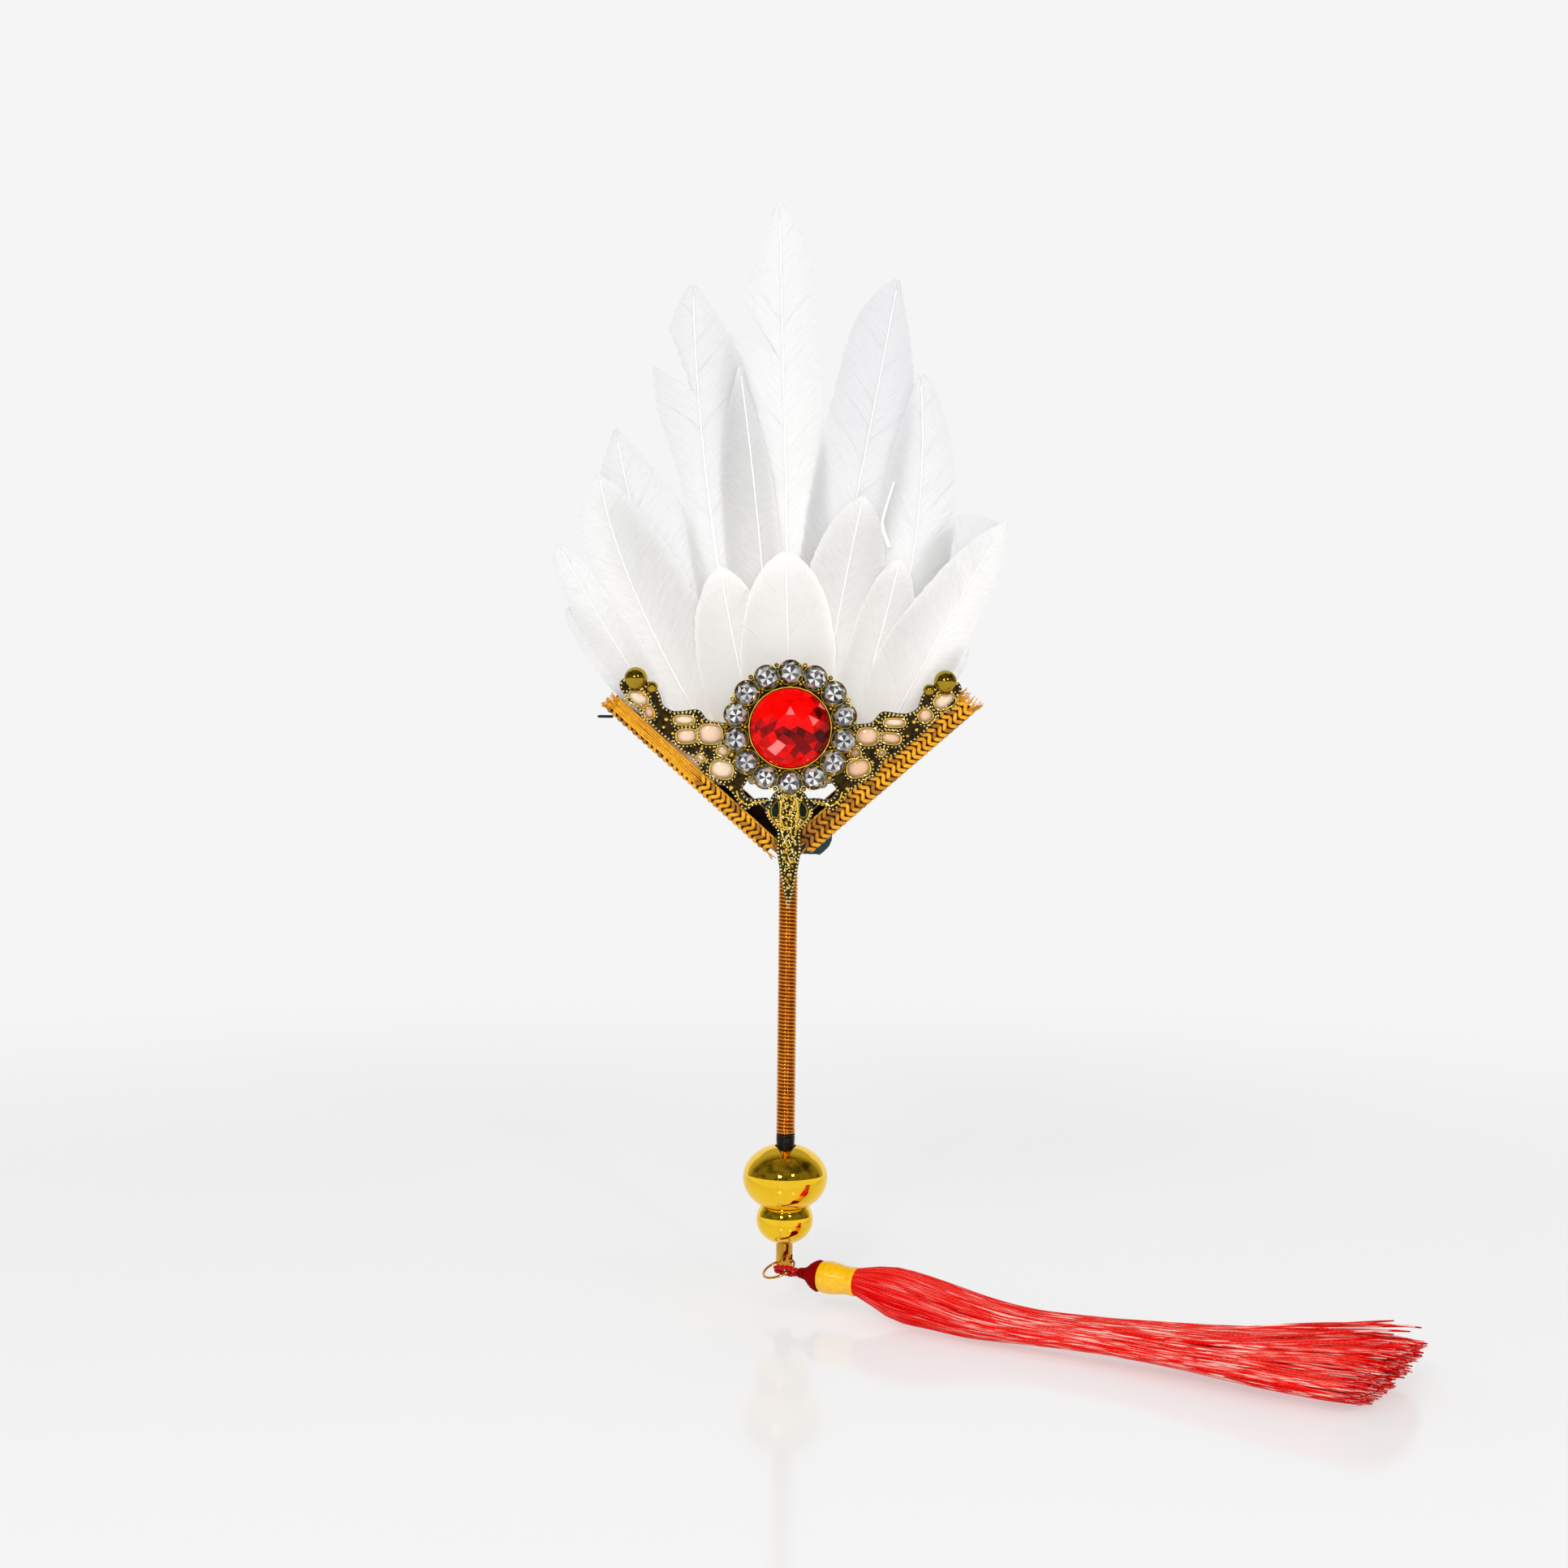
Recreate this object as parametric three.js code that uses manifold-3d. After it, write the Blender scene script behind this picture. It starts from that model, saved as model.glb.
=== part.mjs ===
// A small hand fan: layered goose feathers held in a gilt V of filigree and braid, with a stone
// cluster at the front, a wire wound handle, a gourd finial, and a tassel on a jump ring.
// Millimetres, +Z up along the handle, the front faces -Y, the origin is the middle of the grip.

import * as THREE from "three";
import { mergeVertices } from "three/addons/utils/BufferGeometryUtils.js";
import Module from "manifold-3d";

const wasm = await Module();
wasm.setup();

// General clearances
const clearance = 0.3;
const cutOverrun = 1;

// Handle, from the grip upwards and downwards
const grip = { length: 57.5, wire: 0.45, turns: 64, stepsPerTurn: 8, sides: 5 };
const core = { radius: 1.2, tangReach: 22, tangHalfWidth: 1.1, tangHalfDepth: 0.55, insertion: 4.2 };
const binding = { thread: 0.4, turns: 2, pitch: 0.83, stepsPerTurn: 16, sides: 6 };
const straightEndShare = 1.5;

// Gourd finial and its eye
const gourd = {
  wall: 0.9, lipRadius: 2.6, lipCover: 0.3, upperRadius: 8.85, upperHeight: 7.1, lowerRadius: 5.95,
  lowerHeight: 5.2, waistRadius: 4.85, pegRadius: 1.85, pegLength: 5.4, pegChamfer: 0.5, eyeFloor: 0.55,
  seamTurn: THREE.MathUtils.degToRad(-10),
};

// Jump ring: the wire's run through the eye is turned, tipped and swung out from hanging
const ring = {
  radius: 3.45, wire: 0.52, slit: 0.3, slitPlace: THREE.MathUtils.degToRad(-100), eyePlay: 0.12,
  turn: THREE.MathUtils.degToRad(-24), tip: THREE.MathUtils.degToRad(16),
  swing: THREE.MathUtils.degToRad(73),
};

// Tassel: heading is measured from +X towards the front
const tassel = {
  heading: THREE.MathUtils.degToRad(28), noseRadius: 1.15, knotLength: 4.5, knotRadius: 3.35,
  wrapLength: 8.2, wrapRadius: 3.4, wrapWaist: 3.05, wrapWall: 0.55, shoulder: 0.3,
  skirtLength: 112, skirtHalfWidth: 15, skirtHalfHeight: 5.4, drop: 7.6, drift: 5,
  jointAhead: new THREE.Vector3(3.5, -7.1, -0.6),
};

// Loop cord: its two strands lie above and below the ring's wire, rolled about the tassel's axis
const loopCord = { radius: 0.5, spread: 0.95, reach: 4.5, roll: THREE.MathUtils.degToRad(26) };

// The V holder: braid straps folded round both lower edges
const holder = {
  footHalfWidth: 4.5, footRise: 1.83, length: 44.3, slope: THREE.MathUtils.degToRad(41.7), braid: 0.5,
  leftFlap: 3.4, rightFlap: 5.1, backFlap: 5.6,
};

// Depths of the layers in the head, counted from the handle's axis
const bed = {
  frontDepth: 1.9, backDepth: 0.65, foot: 20.5, outerRun: 37.5, outerInset: 4.1, innerRun: 31.5,
  innerInset: 5.6, rimHalfWidth: 17, rimRise: 28.2, topHalfWidth: 10, topRise: 26,
};
const featherStack = {
  firstDepth: 1.2, pitch: 0.58, layers: 7, quillHalfDepth: 0.16, edgeHalfDepth: 0.04,
  tipHalfWidth: 0.25, reach: 134,
};
const filigree = { thickness: 1, span: 36, bead: 2.4, smallBead: 1.25, spanSteps: 2 };
const leaf = { thickness: 1.3, length: 22, rise: 12.6, halfWidth: 2.15 };

// The stone cluster
const cluster = {
  rise: 28.25, plate: 0.8, ringRadius: 11.25, count: 14, stoneRadius: 2.4, stoneHeight: 1.9,
  tableRadius: 1.35, girdle: 0.5, redRadius: 8.05, redHeight: 4.3, redGirdle: 1,
  bezelPlay: 0.2, bezelWall: 0.3, bezelHeight: 1.5, plateMargin: 1.8, segments: 28,
};

// Backing patch and the pin end that shows beside the left strap
const patch = { thickness: 0.8, halfWidth: 9.15, footRise: 0.2, height: 13.3 };
const pin = { radius: 0.3, length: 3.2, fromTop: 2.6, depth: 1.1 };

// Finishes
const finish = (color, roughness, metalness) =>
  new THREE.MeshStandardMaterial({ color, roughness, metalness });
const paints = {
  feather: () => finish(0xf1edea, 0.85, 0),
  glue: () => finish(0xf3cdb0, 0.35, 0),
  steel: () => finish(0x6f6a62, 0.4, 0.9),
  wire: () => finish(0xc98a3c, 0.3, 1),
  thread: () => finish(0x1c140f, 0.8, 0),
  gilt: () => finish(0xd9b64a, 0.12, 1),
  bronze: () => finish(0xa9793a, 0.25, 1),
  antique: () => finish(0xa88a3c, 0.25, 1),
  redGlass: () => finish(0xc4061e, 0.05, 0),
  crystal: () => finish(0xd6d8da, 0.03, 0.1),
  braid: () => finish(0xc98a20, 0.5, 0.5),
  felt: () => finish(0x17353a, 0.9, 0),
  crimson: () => finish(0x7d0a12, 0.7, 0),
  satin: () => finish(0xf2b731, 0.35, 0.1),
  silk: () => finish(0xe8261f, 0.55, 0),
};

// Fan object and the function that puts one named piece in it
const fan = new THREE.Group();

function addPiece(parent, name, geometry, paint) {
  const mesh = new THREE.Mesh(geometry, paint());
  mesh.name = name;
  parent.add(mesh);
  return mesh;
}

// One closed body: shared vertices merged, collapsed triangles dropped
function closed(geometry) {
  const bare = geometry.clone();
  for (const name of Object.keys(bare.attributes)) {
    if (name !== "position") bare.deleteAttribute(name);
  }
  const merged = mergeVertices(bare, 1e-5);
  const kept = [];
  for (let i = 0; i < merged.index.count; i += 3) {
    const [a, b, c] = [0, 1, 2].map((k) => merged.index.getX(i + k));
    if (a !== b && b !== c && c !== a) kept.push(a, b, c);
  }
  merged.setIndex(kept);
  merged.computeVertexNormals();
  return merged;
}

function toSolid(geometry) {
  const body = closed(geometry);
  return new wasm.Manifold(new wasm.Mesh({
    numProp: 3,
    vertProperties: new Float32Array(body.attributes.position.array),
    triVerts: new Uint32Array(body.index.array),
  }));
}

function toGeometry(solid) {
  const mesh = solid.getMesh();
  const geometry = new THREE.BufferGeometry();
  geometry.setAttribute("position", new THREE.BufferAttribute(mesh.vertProperties, 3));
  geometry.setIndex(new THREE.BufferAttribute(mesh.triVerts, 1));
  geometry.computeVertexNormals();
  return geometry;
}

function cut(geometry, ...tools) {
  return toGeometry(tools.reduce((solid, tool) => solid.subtract(toSolid(tool)), toSolid(geometry)));
}

function join(geometry, ...others) {
  return toGeometry(others.reduce((solid, other) => solid.add(toSolid(other)), toSolid(geometry)));
}

// A body stretched over rings of points, each ring anticlockwise seen from the far end
function skin(rings) {
  const sides = rings[0].length;
  const points = rings.flat();
  const index = [];
  for (let j = 0; j + 1 < rings.length; j += 1) {
    for (let i = 0; i < sides; i += 1) {
      const a = j * sides + i;
      const b = j * sides + (i + 1) % sides;
      index.push(a, b, b + sides, a, b + sides, a + sides);
    }
  }
  for (const [j, outwards] of [[0, false], [rings.length - 1, true]]) {
    const hub = points.length;
    const middle = new THREE.Vector3();
    rings[j].forEach((point) => middle.addScaledVector(point, 1 / sides));
    points.push(middle);
    for (let i = 0; i < sides; i += 1) {
      const a = j * sides + i;
      const b = j * sides + (i + 1) % sides;
      index.push(hub, ...(outwards ? [a, b] : [b, a]));
    }
  }
  const geometry = new THREE.BufferGeometry();
  geometry.setAttribute("position", new THREE.Float32BufferAttribute(points.flatMap((p) => p.toArray()), 3));
  geometry.setIndex(index);
  geometry.computeVertexNormals();
  return geometry;
}

// A round tube through points, with one sideways hint for each of them
function tube(points, hints, radius, sides) {
  return skin(points.map((point, k) => {
    const before = points[Math.max(k - 1, 0)];
    const after = points[Math.min(k + 1, points.length - 1)];
    const along = after.clone().sub(before).normalize();
    const hint = hints[k];
    const normal = hint.clone().addScaledVector(along, -hint.dot(along)).normalize();
    const binormal = along.clone().cross(normal);
    return Array.from({ length: sides }, (_, i) => {
      const angle = i / sides * 2 * Math.PI;
      return point.clone()
        .addScaledVector(normal, radius * Math.cos(angle))
        .addScaledVector(binormal, radius * Math.sin(angle));
    });
  }));
}

// A turned body round Z, from [radius, height] points that start and end on the axis or close
function turned(profile, segments) {
  const outline = profile.map(([radius, height]) => new THREE.Vector2(radius, height));
  return new THREE.LatheGeometry(outline, segments).rotateX(Math.PI / 2);
}

// A plate in the XZ plane whose back lies at the given depth and which grows towards the front
function plate(shape, back, thickness) {
  return new THREE.ExtrudeGeometry(shape, { depth: thickness, bevelEnabled: false, curveSegments: 5 })
    .rotateX(Math.PI / 2)
    .translate(0, back, 0);
}

function block(low, high) {
  const size = high.clone().sub(low);
  const middle = low.clone().add(high).multiplyScalar(0.5);
  return new THREE.BoxGeometry(size.x, size.y, size.z).translate(middle.x, middle.y, middle.z);
}

function smoothClosed(points, steps) {
  const curve = new THREE.CatmullRomCurve3(points.map(([x, z]) => new THREE.Vector3(x, z, 0)), true);
  const smooth = curve.getPoints(points.length * steps).slice(0, -1);
  return smooth.map((point) => new THREE.Vector2(point.x, point.y));
}

// Least distance between the surfaces of turns that lie next to each other along a wound tube
function leastSelfGap(points, perTurn, diameter) {
  let least = Infinity;
  for (let a = 0; a < points.length; a += 1) {
    for (let b = a + Math.floor(perTurn / 2) + 1; b < points.length; b += 1) {
      least = Math.min(least, points[a].distanceTo(points[b]));
    }
  }
  return least - diameter;
}

// A wire wound round the core; both ends turn and run straight along it for one diameter
function winding({ top, turns, pitch, wire, stepsPerTurn, sides, radius, name }) {
  const points = [];
  const hints = [];
  const steps = turns * stepsPerTurn;
  const straight = wire * straightEndShare;
  for (let k = 0; k <= steps; k += 1) {
    const angle = k / stepsPerTurn * 2 * Math.PI;
    const out = new THREE.Vector3(Math.cos(angle), Math.sin(angle), 0);
    hints.push(out);
    points.push(out.clone().multiplyScalar(radius).setZ(top - straight - pitch * k / stepsPerTurn));
  }
  const turnGap = leastSelfGap(points, stepsPerTurn, wire);
  console.log(`${name}: least gap between turns ${turnGap.toFixed(3)} mm`);
  points.unshift(points[0].clone().setZ(top));
  hints.unshift(hints[0].clone());
  points.push(points[points.length - 1].clone().setZ(points[points.length - 1].z - straight));
  hints.push(hints[hints.length - 1].clone());
  return tube(points, hints, wire / 2, sides);
}

// Handle: a round core that flattens to a tang in the head, and the gilt wire wound on it
const gripTop = grip.length / 2;
const gripBottom = -grip.length / 2;
const windingRadius = core.radius + clearance + grip.wire / 2;

function addHandle() {
  const tangTop = gripTop + core.tangReach;
  const coreBottom = gourdTop - core.insertion;
  const sections = [
    [coreBottom, core.radius, core.radius],
    [gripTop - core.radius, core.radius, core.radius],
    [gripTop + core.radius, core.tangHalfWidth, core.tangHalfDepth],
    [tangTop, core.tangHalfWidth, core.tangHalfDepth],
  ];
  const sides = 12;
  const rings = sections.map(([z, halfX, halfY]) => Array.from({ length: sides }, (_, i) => {
    const angle = (i + 0.5) / sides * 2 * Math.PI;
    return new THREE.Vector3(halfX * Math.cos(angle), halfY * Math.sin(angle), z);
  }));
  addPiece(fan, "handle_core", skin(rings), paints.steel);

  const pitch = (grip.length - 2 * grip.wire * straightEndShare) / grip.turns;
  addPiece(fan, "handle_winding", winding({
    ...grip, top: gripTop, pitch, radius: windingRadius, name: "handle_winding",
  }), paints.wire);
}

// Black thread whipping between the gilt wire and the gourd
const bindingTop = gripBottom - clearance;
const bindingLength = binding.turns * binding.pitch + 2 * binding.thread * straightEndShare;

function addBinding() {
  addPiece(fan, "thread_binding", winding({
    ...binding, wire: binding.thread, top: bindingTop,
    radius: core.radius + clearance + binding.thread / 2, name: "thread_binding",
  }), paints.thread);
}

// Gourd: two moulded half shells that meet on an upright seam, with an eye in the stem below
const gourdTop = bindingTop - bindingLength + gourd.lipCover;
const gourdBore = core.radius + clearance + binding.thread + clearance;
const lipSine = Math.sqrt(1 - (gourd.lipRadius / gourd.upperRadius) ** 2);
const upperWaistSine = Math.sqrt(1 - (gourd.waistRadius / gourd.upperRadius) ** 2);
const lowerWaistSine = Math.sqrt(1 - (gourd.waistRadius / gourd.lowerRadius) ** 2);
const pegSine = Math.sqrt(1 - (gourd.pegRadius / gourd.lowerRadius) ** 2);
const upperCentre = gourdTop - gourd.upperHeight * lipSine;
const waistHeight = upperCentre - gourd.upperHeight * upperWaistSine;
const lowerCentre = waistHeight - gourd.lowerHeight * lowerWaistSine;
const pegTop = lowerCentre - gourd.lowerHeight * pegSine;
const pegBottom = pegTop - gourd.pegLength;
const eyeSag = ring.radius - Math.sqrt(ring.radius ** 2 - gourd.pegRadius ** 2);
const eyeRadius = eyeSag + ring.wire / 2 + ring.eyePlay;
const eyeHeight = pegBottom + gourd.eyeFloor + eyeRadius;

function bulbArc(centre, radius, height, fromSine, toSine, steps) {
  const from = Math.asin(fromSine);
  const to = Math.asin(toSine);
  return Array.from({ length: steps + 1 }, (_, k) => {
    const angle = from + (to - from) * k / steps;
    return [radius * Math.cos(angle), centre + height * Math.sin(angle)];
  });
}

function gourdShell() {
  const inner = (size) => size - gourd.wall;
  const boreSine = Math.sqrt(1 - (gourdBore / inner(gourd.upperRadius)) ** 2);
  const throat = inner(gourd.waistRadius);
  const upperThroat = Math.sqrt(1 - (throat / inner(gourd.upperRadius)) ** 2);
  const lowerThroat = Math.sqrt(1 - (throat / inner(gourd.lowerRadius)) ** 2);
  const profile = [
    [0, pegBottom],
    [gourd.pegRadius - gourd.pegChamfer, pegBottom],
    [gourd.pegRadius, pegBottom + gourd.pegChamfer],
    ...bulbArc(lowerCentre, gourd.lowerRadius, gourd.lowerHeight, -pegSine, lowerWaistSine, 8),
    ...bulbArc(upperCentre, gourd.upperRadius, gourd.upperHeight, -upperWaistSine, lipSine, 10),
    [gourdBore, gourdTop],
    ...bulbArc(upperCentre, inner(gourd.upperRadius), inner(gourd.upperHeight),
      boreSine, -upperThroat, 5),
    ...bulbArc(lowerCentre, inner(gourd.lowerRadius), inner(gourd.lowerHeight),
      lowerThroat, -lowerThroat, 4),
    [0, lowerCentre - inner(gourd.lowerHeight)],
  ];
  return turned(profile, 20);
}

function addGourd() {
  const eye = new THREE.CylinderGeometry(eyeRadius, eyeRadius, gourd.upperRadius, 16)
    .rotateZ(Math.PI / 2)
    .rotateY(-ring.tip)
    .rotateZ(ring.turn)
    .translate(0, 0, eyeHeight);
  const shell = cut(gourdShell(), eye);
  const reach = gourd.upperRadius + cutOverrun;
  const low = pegBottom - cutOverrun;
  const high = gourdTop + cutOverrun;
  for (const [name, side] of [["gourd_left_half", 1], ["gourd_right_half", -1]]) {
    const seam = clearance / 2;
    const away = side > 0
      ? block(new THREE.Vector3(-seam, -reach, low), new THREE.Vector3(reach, reach, high))
      : block(new THREE.Vector3(-reach, -reach, low), new THREE.Vector3(seam, reach, high));
    addPiece(fan, name, cut(shell, away.rotateZ(gourd.seamTurn)), paints.gilt);
  }
}

// Jump ring: an open wire ring through the eye. Its own X runs through the eye and -Z hangs
const ringGroup = new THREE.Group();
ringGroup.position.set(0, 0, eyeHeight);
ringGroup.rotation.order = "ZYX";
ringGroup.rotation.set(-ring.swing, -ring.tip, ring.turn);
fan.add(ringGroup);

function addRing() {
  const steps = 32;
  const halfSlit = ring.slit / ring.radius / 2;
  const points = [];
  const hints = [];
  for (let k = 0; k <= steps; k += 1) {
    const angle = ring.slitPlace + halfSlit + (2 * Math.PI - 2 * halfSlit) * k / steps;
    const out = new THREE.Vector3(Math.cos(angle), 0, Math.sin(angle));
    hints.push(out);
    points.push(out.clone().multiplyScalar(ring.radius).add(new THREE.Vector3(0, 0, -ring.radius)));
  }
  addPiece(ringGroup, "jump_ring", tube(points, hints, ring.wire / 2, 6), paints.bronze);
}

// Tassel: its own +X runs from the nose of the knot to the end of the skirt
const tasselGroup = new THREE.Group();
tasselGroup.position.copy(tassel.jointAhead).add(new THREE.Vector3(0, 0, eyeHeight));
tasselGroup.rotation.z = -tassel.heading;
fan.add(tasselGroup);

function alongX(profile, segments) {
  return turned(profile, segments).rotateY(Math.PI / 2);
}

// The cord loop that goes through the ring, both ends stopping just before the knot. Each point
// of its upper strand is a run from the bend and a height, both as shares of the spread
const loopBendShares = [[0, 0], [0.14, 0.5], [0.5, 0.85], [1, 1]];

function addLoop() {
  const end = -tassel.noseRadius - clearance;
  const bend = end - loopCord.reach;
  const strand = loopBendShares.map(([run, rise]) => [bend + loopCord.spread * run, loopCord.spread * rise]);
  strand.push([end - 2 * loopCord.radius, loopCord.spread], [end, loopCord.spread]);
  const upper = strand.map(([x, z]) => new THREE.Vector3(x, 0, z)).reverse();
  const lower = strand.slice(1).map(([x, z]) => new THREE.Vector3(x, 0, -z));
  const points = [...upper, ...lower];
  const hints = points.map(() => new THREE.Vector3(0, 1, 0));
  const loop = addPiece(tasselGroup, "tassel_loop", tube(points, hints, loopCord.radius, 8), paints.crimson);
  loop.rotation.x = loopCord.roll;
}

// Knot: a round nose, then a body that widens in shares of its length and radius
const noseShares = [[-1, 0], [-0.66, 0.75], [0, 1]];
const knotShares = [[0.28, 0.42], [0.5, 0.68], [0.76, 0.94], [1, 1], [1, 0]];

function addKnot() {
  const profile = [
    ...noseShares.map(([run, radius]) => [tassel.noseRadius * radius, tassel.noseRadius * run]),
    ...knotShares.map(([run, radius]) => [tassel.knotRadius * radius, tassel.knotLength * run]),
  ];
  addPiece(tasselGroup, "tassel_knot", alongX(profile, 18), paints.crimson);
}

// Wrap: a satin band that is full near the knot and drawn in towards the skirt
const wrapStart = tassel.knotLength + clearance;
const wrapEnd = wrapStart + tassel.wrapLength;
const wrapFullShare = 0.25;
const wrapWaistShare = 0.62;

function addWrap() {
  const inner = tassel.wrapWaist - tassel.wrapWall;
  const profile = [
    [inner, wrapStart],
    [tassel.wrapRadius, wrapStart],
    [tassel.wrapRadius, wrapStart + tassel.wrapLength * wrapFullShare],
    [tassel.wrapWaist, wrapStart + tassel.wrapLength * wrapWaistShare],
    [tassel.wrapWaist, wrapEnd],
    [inner, wrapEnd],
    [inner, wrapStart],
  ];
  addPiece(tasselGroup, "tassel_wrap", alongX(profile, 20), paints.satin);
}

// Skirt stations: run along the skirt, half width, half height, drop and drift, all as shares
const skirtShares = [
  [0, 0.2, 0.57, 0, 0], [0.03, 0.3, 0.75, 0.02, 0], [0.085, 0.4, 1.02, 0.15, 0],
  [0.16, 0.44, 0.96, 0.25, -0.1], [0.24, 0.48, 0.84, 0.4, -0.2], [0.33, 0.53, 0.7, 0.47, -0.3],
  [0.43, 0.6, 0.65, 0.49, -0.3], [0.54, 0.7, 0.67, 0.46, -0.2], [0.66, 0.83, 0.67, 0.42, 0],
  [0.78, 0.94, 0.74, 0.39, 0.2], [0.9, 1, 0.82, 0.36, 0.6], [1, 1, 0.8, 0.33, 1],
];

function addSkirt() {
  const sides = 16;
  const ringAt = (x, y, z, halfY, halfZ) => Array.from({ length: sides }, (_, i) => {
    const angle = i / sides * 2 * Math.PI;
    return new THREE.Vector3(x, y + halfY * Math.cos(angle), z + halfZ * Math.sin(angle));
  });
  const neck = tassel.wrapWaist - tassel.wrapWall - clearance;
  const start = wrapEnd + clearance;
  const rings = [ringAt(wrapStart, 0, 0, neck, neck), ringAt(start, 0, 0, neck, neck)];
  for (const [run, width, height, drop, drift] of skirtShares) {
    rings.push(ringAt(
      start + tassel.shoulder + tassel.skirtLength * run, tassel.drift * drift, -tassel.drop * drop,
      tassel.skirtHalfWidth * width, tassel.skirtHalfHeight * height,
    ));
  }
  addPiece(tasselGroup, "tassel_skirt", skin(rings), paints.silk);
}

// The head hangs on one group at the apex of the V, just above the grip
const head = new THREE.Group();
head.position.z = gripTop;
fan.add(head);

// Depths, all measured from the handle's axis, the front being negative
const flapBack = -bed.frontDepth - clearance;
const flapFront = flapBack - holder.braid;
const filigreeBack = flapFront - clearance;
const clusterBack = filigreeBack - filigree.thickness - clearance;
const stoneBack = clusterBack - cluster.plate - clearance;
const lastFeather = featherStack.firstDepth + featherStack.pitch * (featherStack.layers - 1);
const backFlapFront = lastFeather + featherStack.quillHalfDepth + clearance;
const backFlapBack = backFlapFront + holder.braid;
const patchFront = backFlapBack + clearance;

// A point on the V: a distance up from the foot, and an inset square to the outer edge
function onV(side, run, inset) {
  const across = Math.cos(holder.slope);
  const rise = Math.sin(holder.slope);
  return [
    side * (holder.footHalfWidth + run * across - inset * rise),
    holder.footRise + run * rise + inset * across,
  ];
}

// Glue bed: the cast pad that takes the quills, with a groove for the tang
function addBed() {
  const inset = holder.braid + clearance;
  const right = [
    onV(1, bed.foot, inset), onV(1, bed.outerRun, inset), onV(1, bed.outerRun, bed.outerInset),
    onV(1, bed.innerRun, bed.innerInset), [bed.rimHalfWidth, bed.rimRise], [bed.topHalfWidth, bed.topRise],
  ];
  const left = right.map(([x, z]) => [-x, z]).reverse();
  const shape = new THREE.Shape([...right, ...left].map(([x, z]) => new THREE.Vector2(x, z)));
  const pad = plate(shape, bed.backDepth, bed.frontDepth + bed.backDepth);
  const groove = block(
    new THREE.Vector3(-core.tangHalfWidth - clearance, -core.tangHalfDepth - clearance, -cutOverrun),
    new THREE.Vector3(core.tangHalfWidth + clearance, bed.backDepth + cutOverrun,
      core.tangReach + clearance),
  );
  addPiece(head, "feather_bed", cut(pad, groove), paints.glue);
}

// Braid straps: a flat braid folded round each lower edge of the V, open towards the feathers
function addStrap(name, side, frontFlap) {
  const wall = holder.braid;
  const section = new THREE.Shape([
    [0, flapFront], [frontFlap, flapFront], [frontFlap, flapBack], [wall, flapBack],
    [wall, backFlapFront], [holder.backFlap, backFlapFront], [holder.backFlap, backFlapBack],
    [0, backFlapBack],
  ].map(([inset, depth]) => new THREE.Vector2(inset, depth)));
  const body = new THREE.ExtrudeGeometry(section, { depth: holder.length, bevelEnabled: false });
  const [topX, topZ] = onV(1, holder.length, 0);
  const inwards = new THREE.Vector3(-Math.sin(holder.slope), 0, Math.cos(holder.slope));
  const downwards = new THREE.Vector3(-Math.cos(holder.slope), 0, -Math.sin(holder.slope));
  body.applyMatrix4(new THREE.Matrix4().makeBasis(inwards, new THREE.Vector3(0, 1, 0), downwards));
  body.translate(topX, 0, topZ);
  if (side < 0) mirror(body);
  addPiece(head, name, body, paints.braid);
}

// Mirrors a body across the YZ plane and turns its faces out again
function mirror(geometry) {
  geometry.scale(-1, 1, 1);
  const plain = geometry.index ? geometry.toNonIndexed() : geometry;
  const position = plain.attributes.position;
  for (let i = 0; i < position.count; i += 3) {
    const second = new THREE.Vector3().fromBufferAttribute(position, i + 1);
    const third = new THREE.Vector3().fromBufferAttribute(position, i + 2);
    position.setXYZ(i + 1, third.x, third.y, third.z);
    position.setXYZ(i + 2, second.x, second.y, second.z);
  }
  geometry.setIndex(null);
  geometry.setAttribute("position", position);
  geometry.computeVertexNormals();
  return geometry;
}

// Filigree wing outline and openings, as shares of the wing's span from the cluster's centre
const wingOutlineShares = [
  [0.245, -0.325], [0.266, -0.36], [0.25, -0.4], [0.215, -0.417], [0.125, -0.411], [0.128, -0.44],
  [0.205, -0.458], [0.235, -0.482], [0.276, -0.464], [0.304, -0.42], [0.335, -0.375], [0.4, -0.325], [0.455, -0.292], [0.5, -0.262], [0.535, -0.185],
  [0.6, -0.155], [0.66, -0.105], [0.72, -0.062], [0.79, 0.005], [0.87, 0.1], [0.95, 0.185],
  [0.965, 0.235], [0.935, 0.262], [0.88, 0.225], [0.835, 0.215], [0.8, 0.245], [0.745, 0.19],
  [0.72, 0.115], [0.67, 0.083], [0.62, 0.08], [0.54, 0.09], [0.505, 0.078], [0.455, 0.025],
  [0.34, 0.01], [0.28, -0.04], [0.235, -0.17], [0.235, -0.28],
];
const wingCellShares = [
  [0.872, 0.165, 0.038, 0.026], [0.763, 0.055, 0.03, 0.034], [0.58, 0.012, 0.042, 0.019],
  [0.58, -0.085, 0.04, 0.024], [0.428, -0.07, 0.045, 0.032], [0.36, -0.155, 0.024, 0.02],
  [0.362, -0.25, 0.048, 0.026],
];
const endBeadShare = [0.874, 0.262];
const smallBeadShare = [0.783, 0.214];

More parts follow.
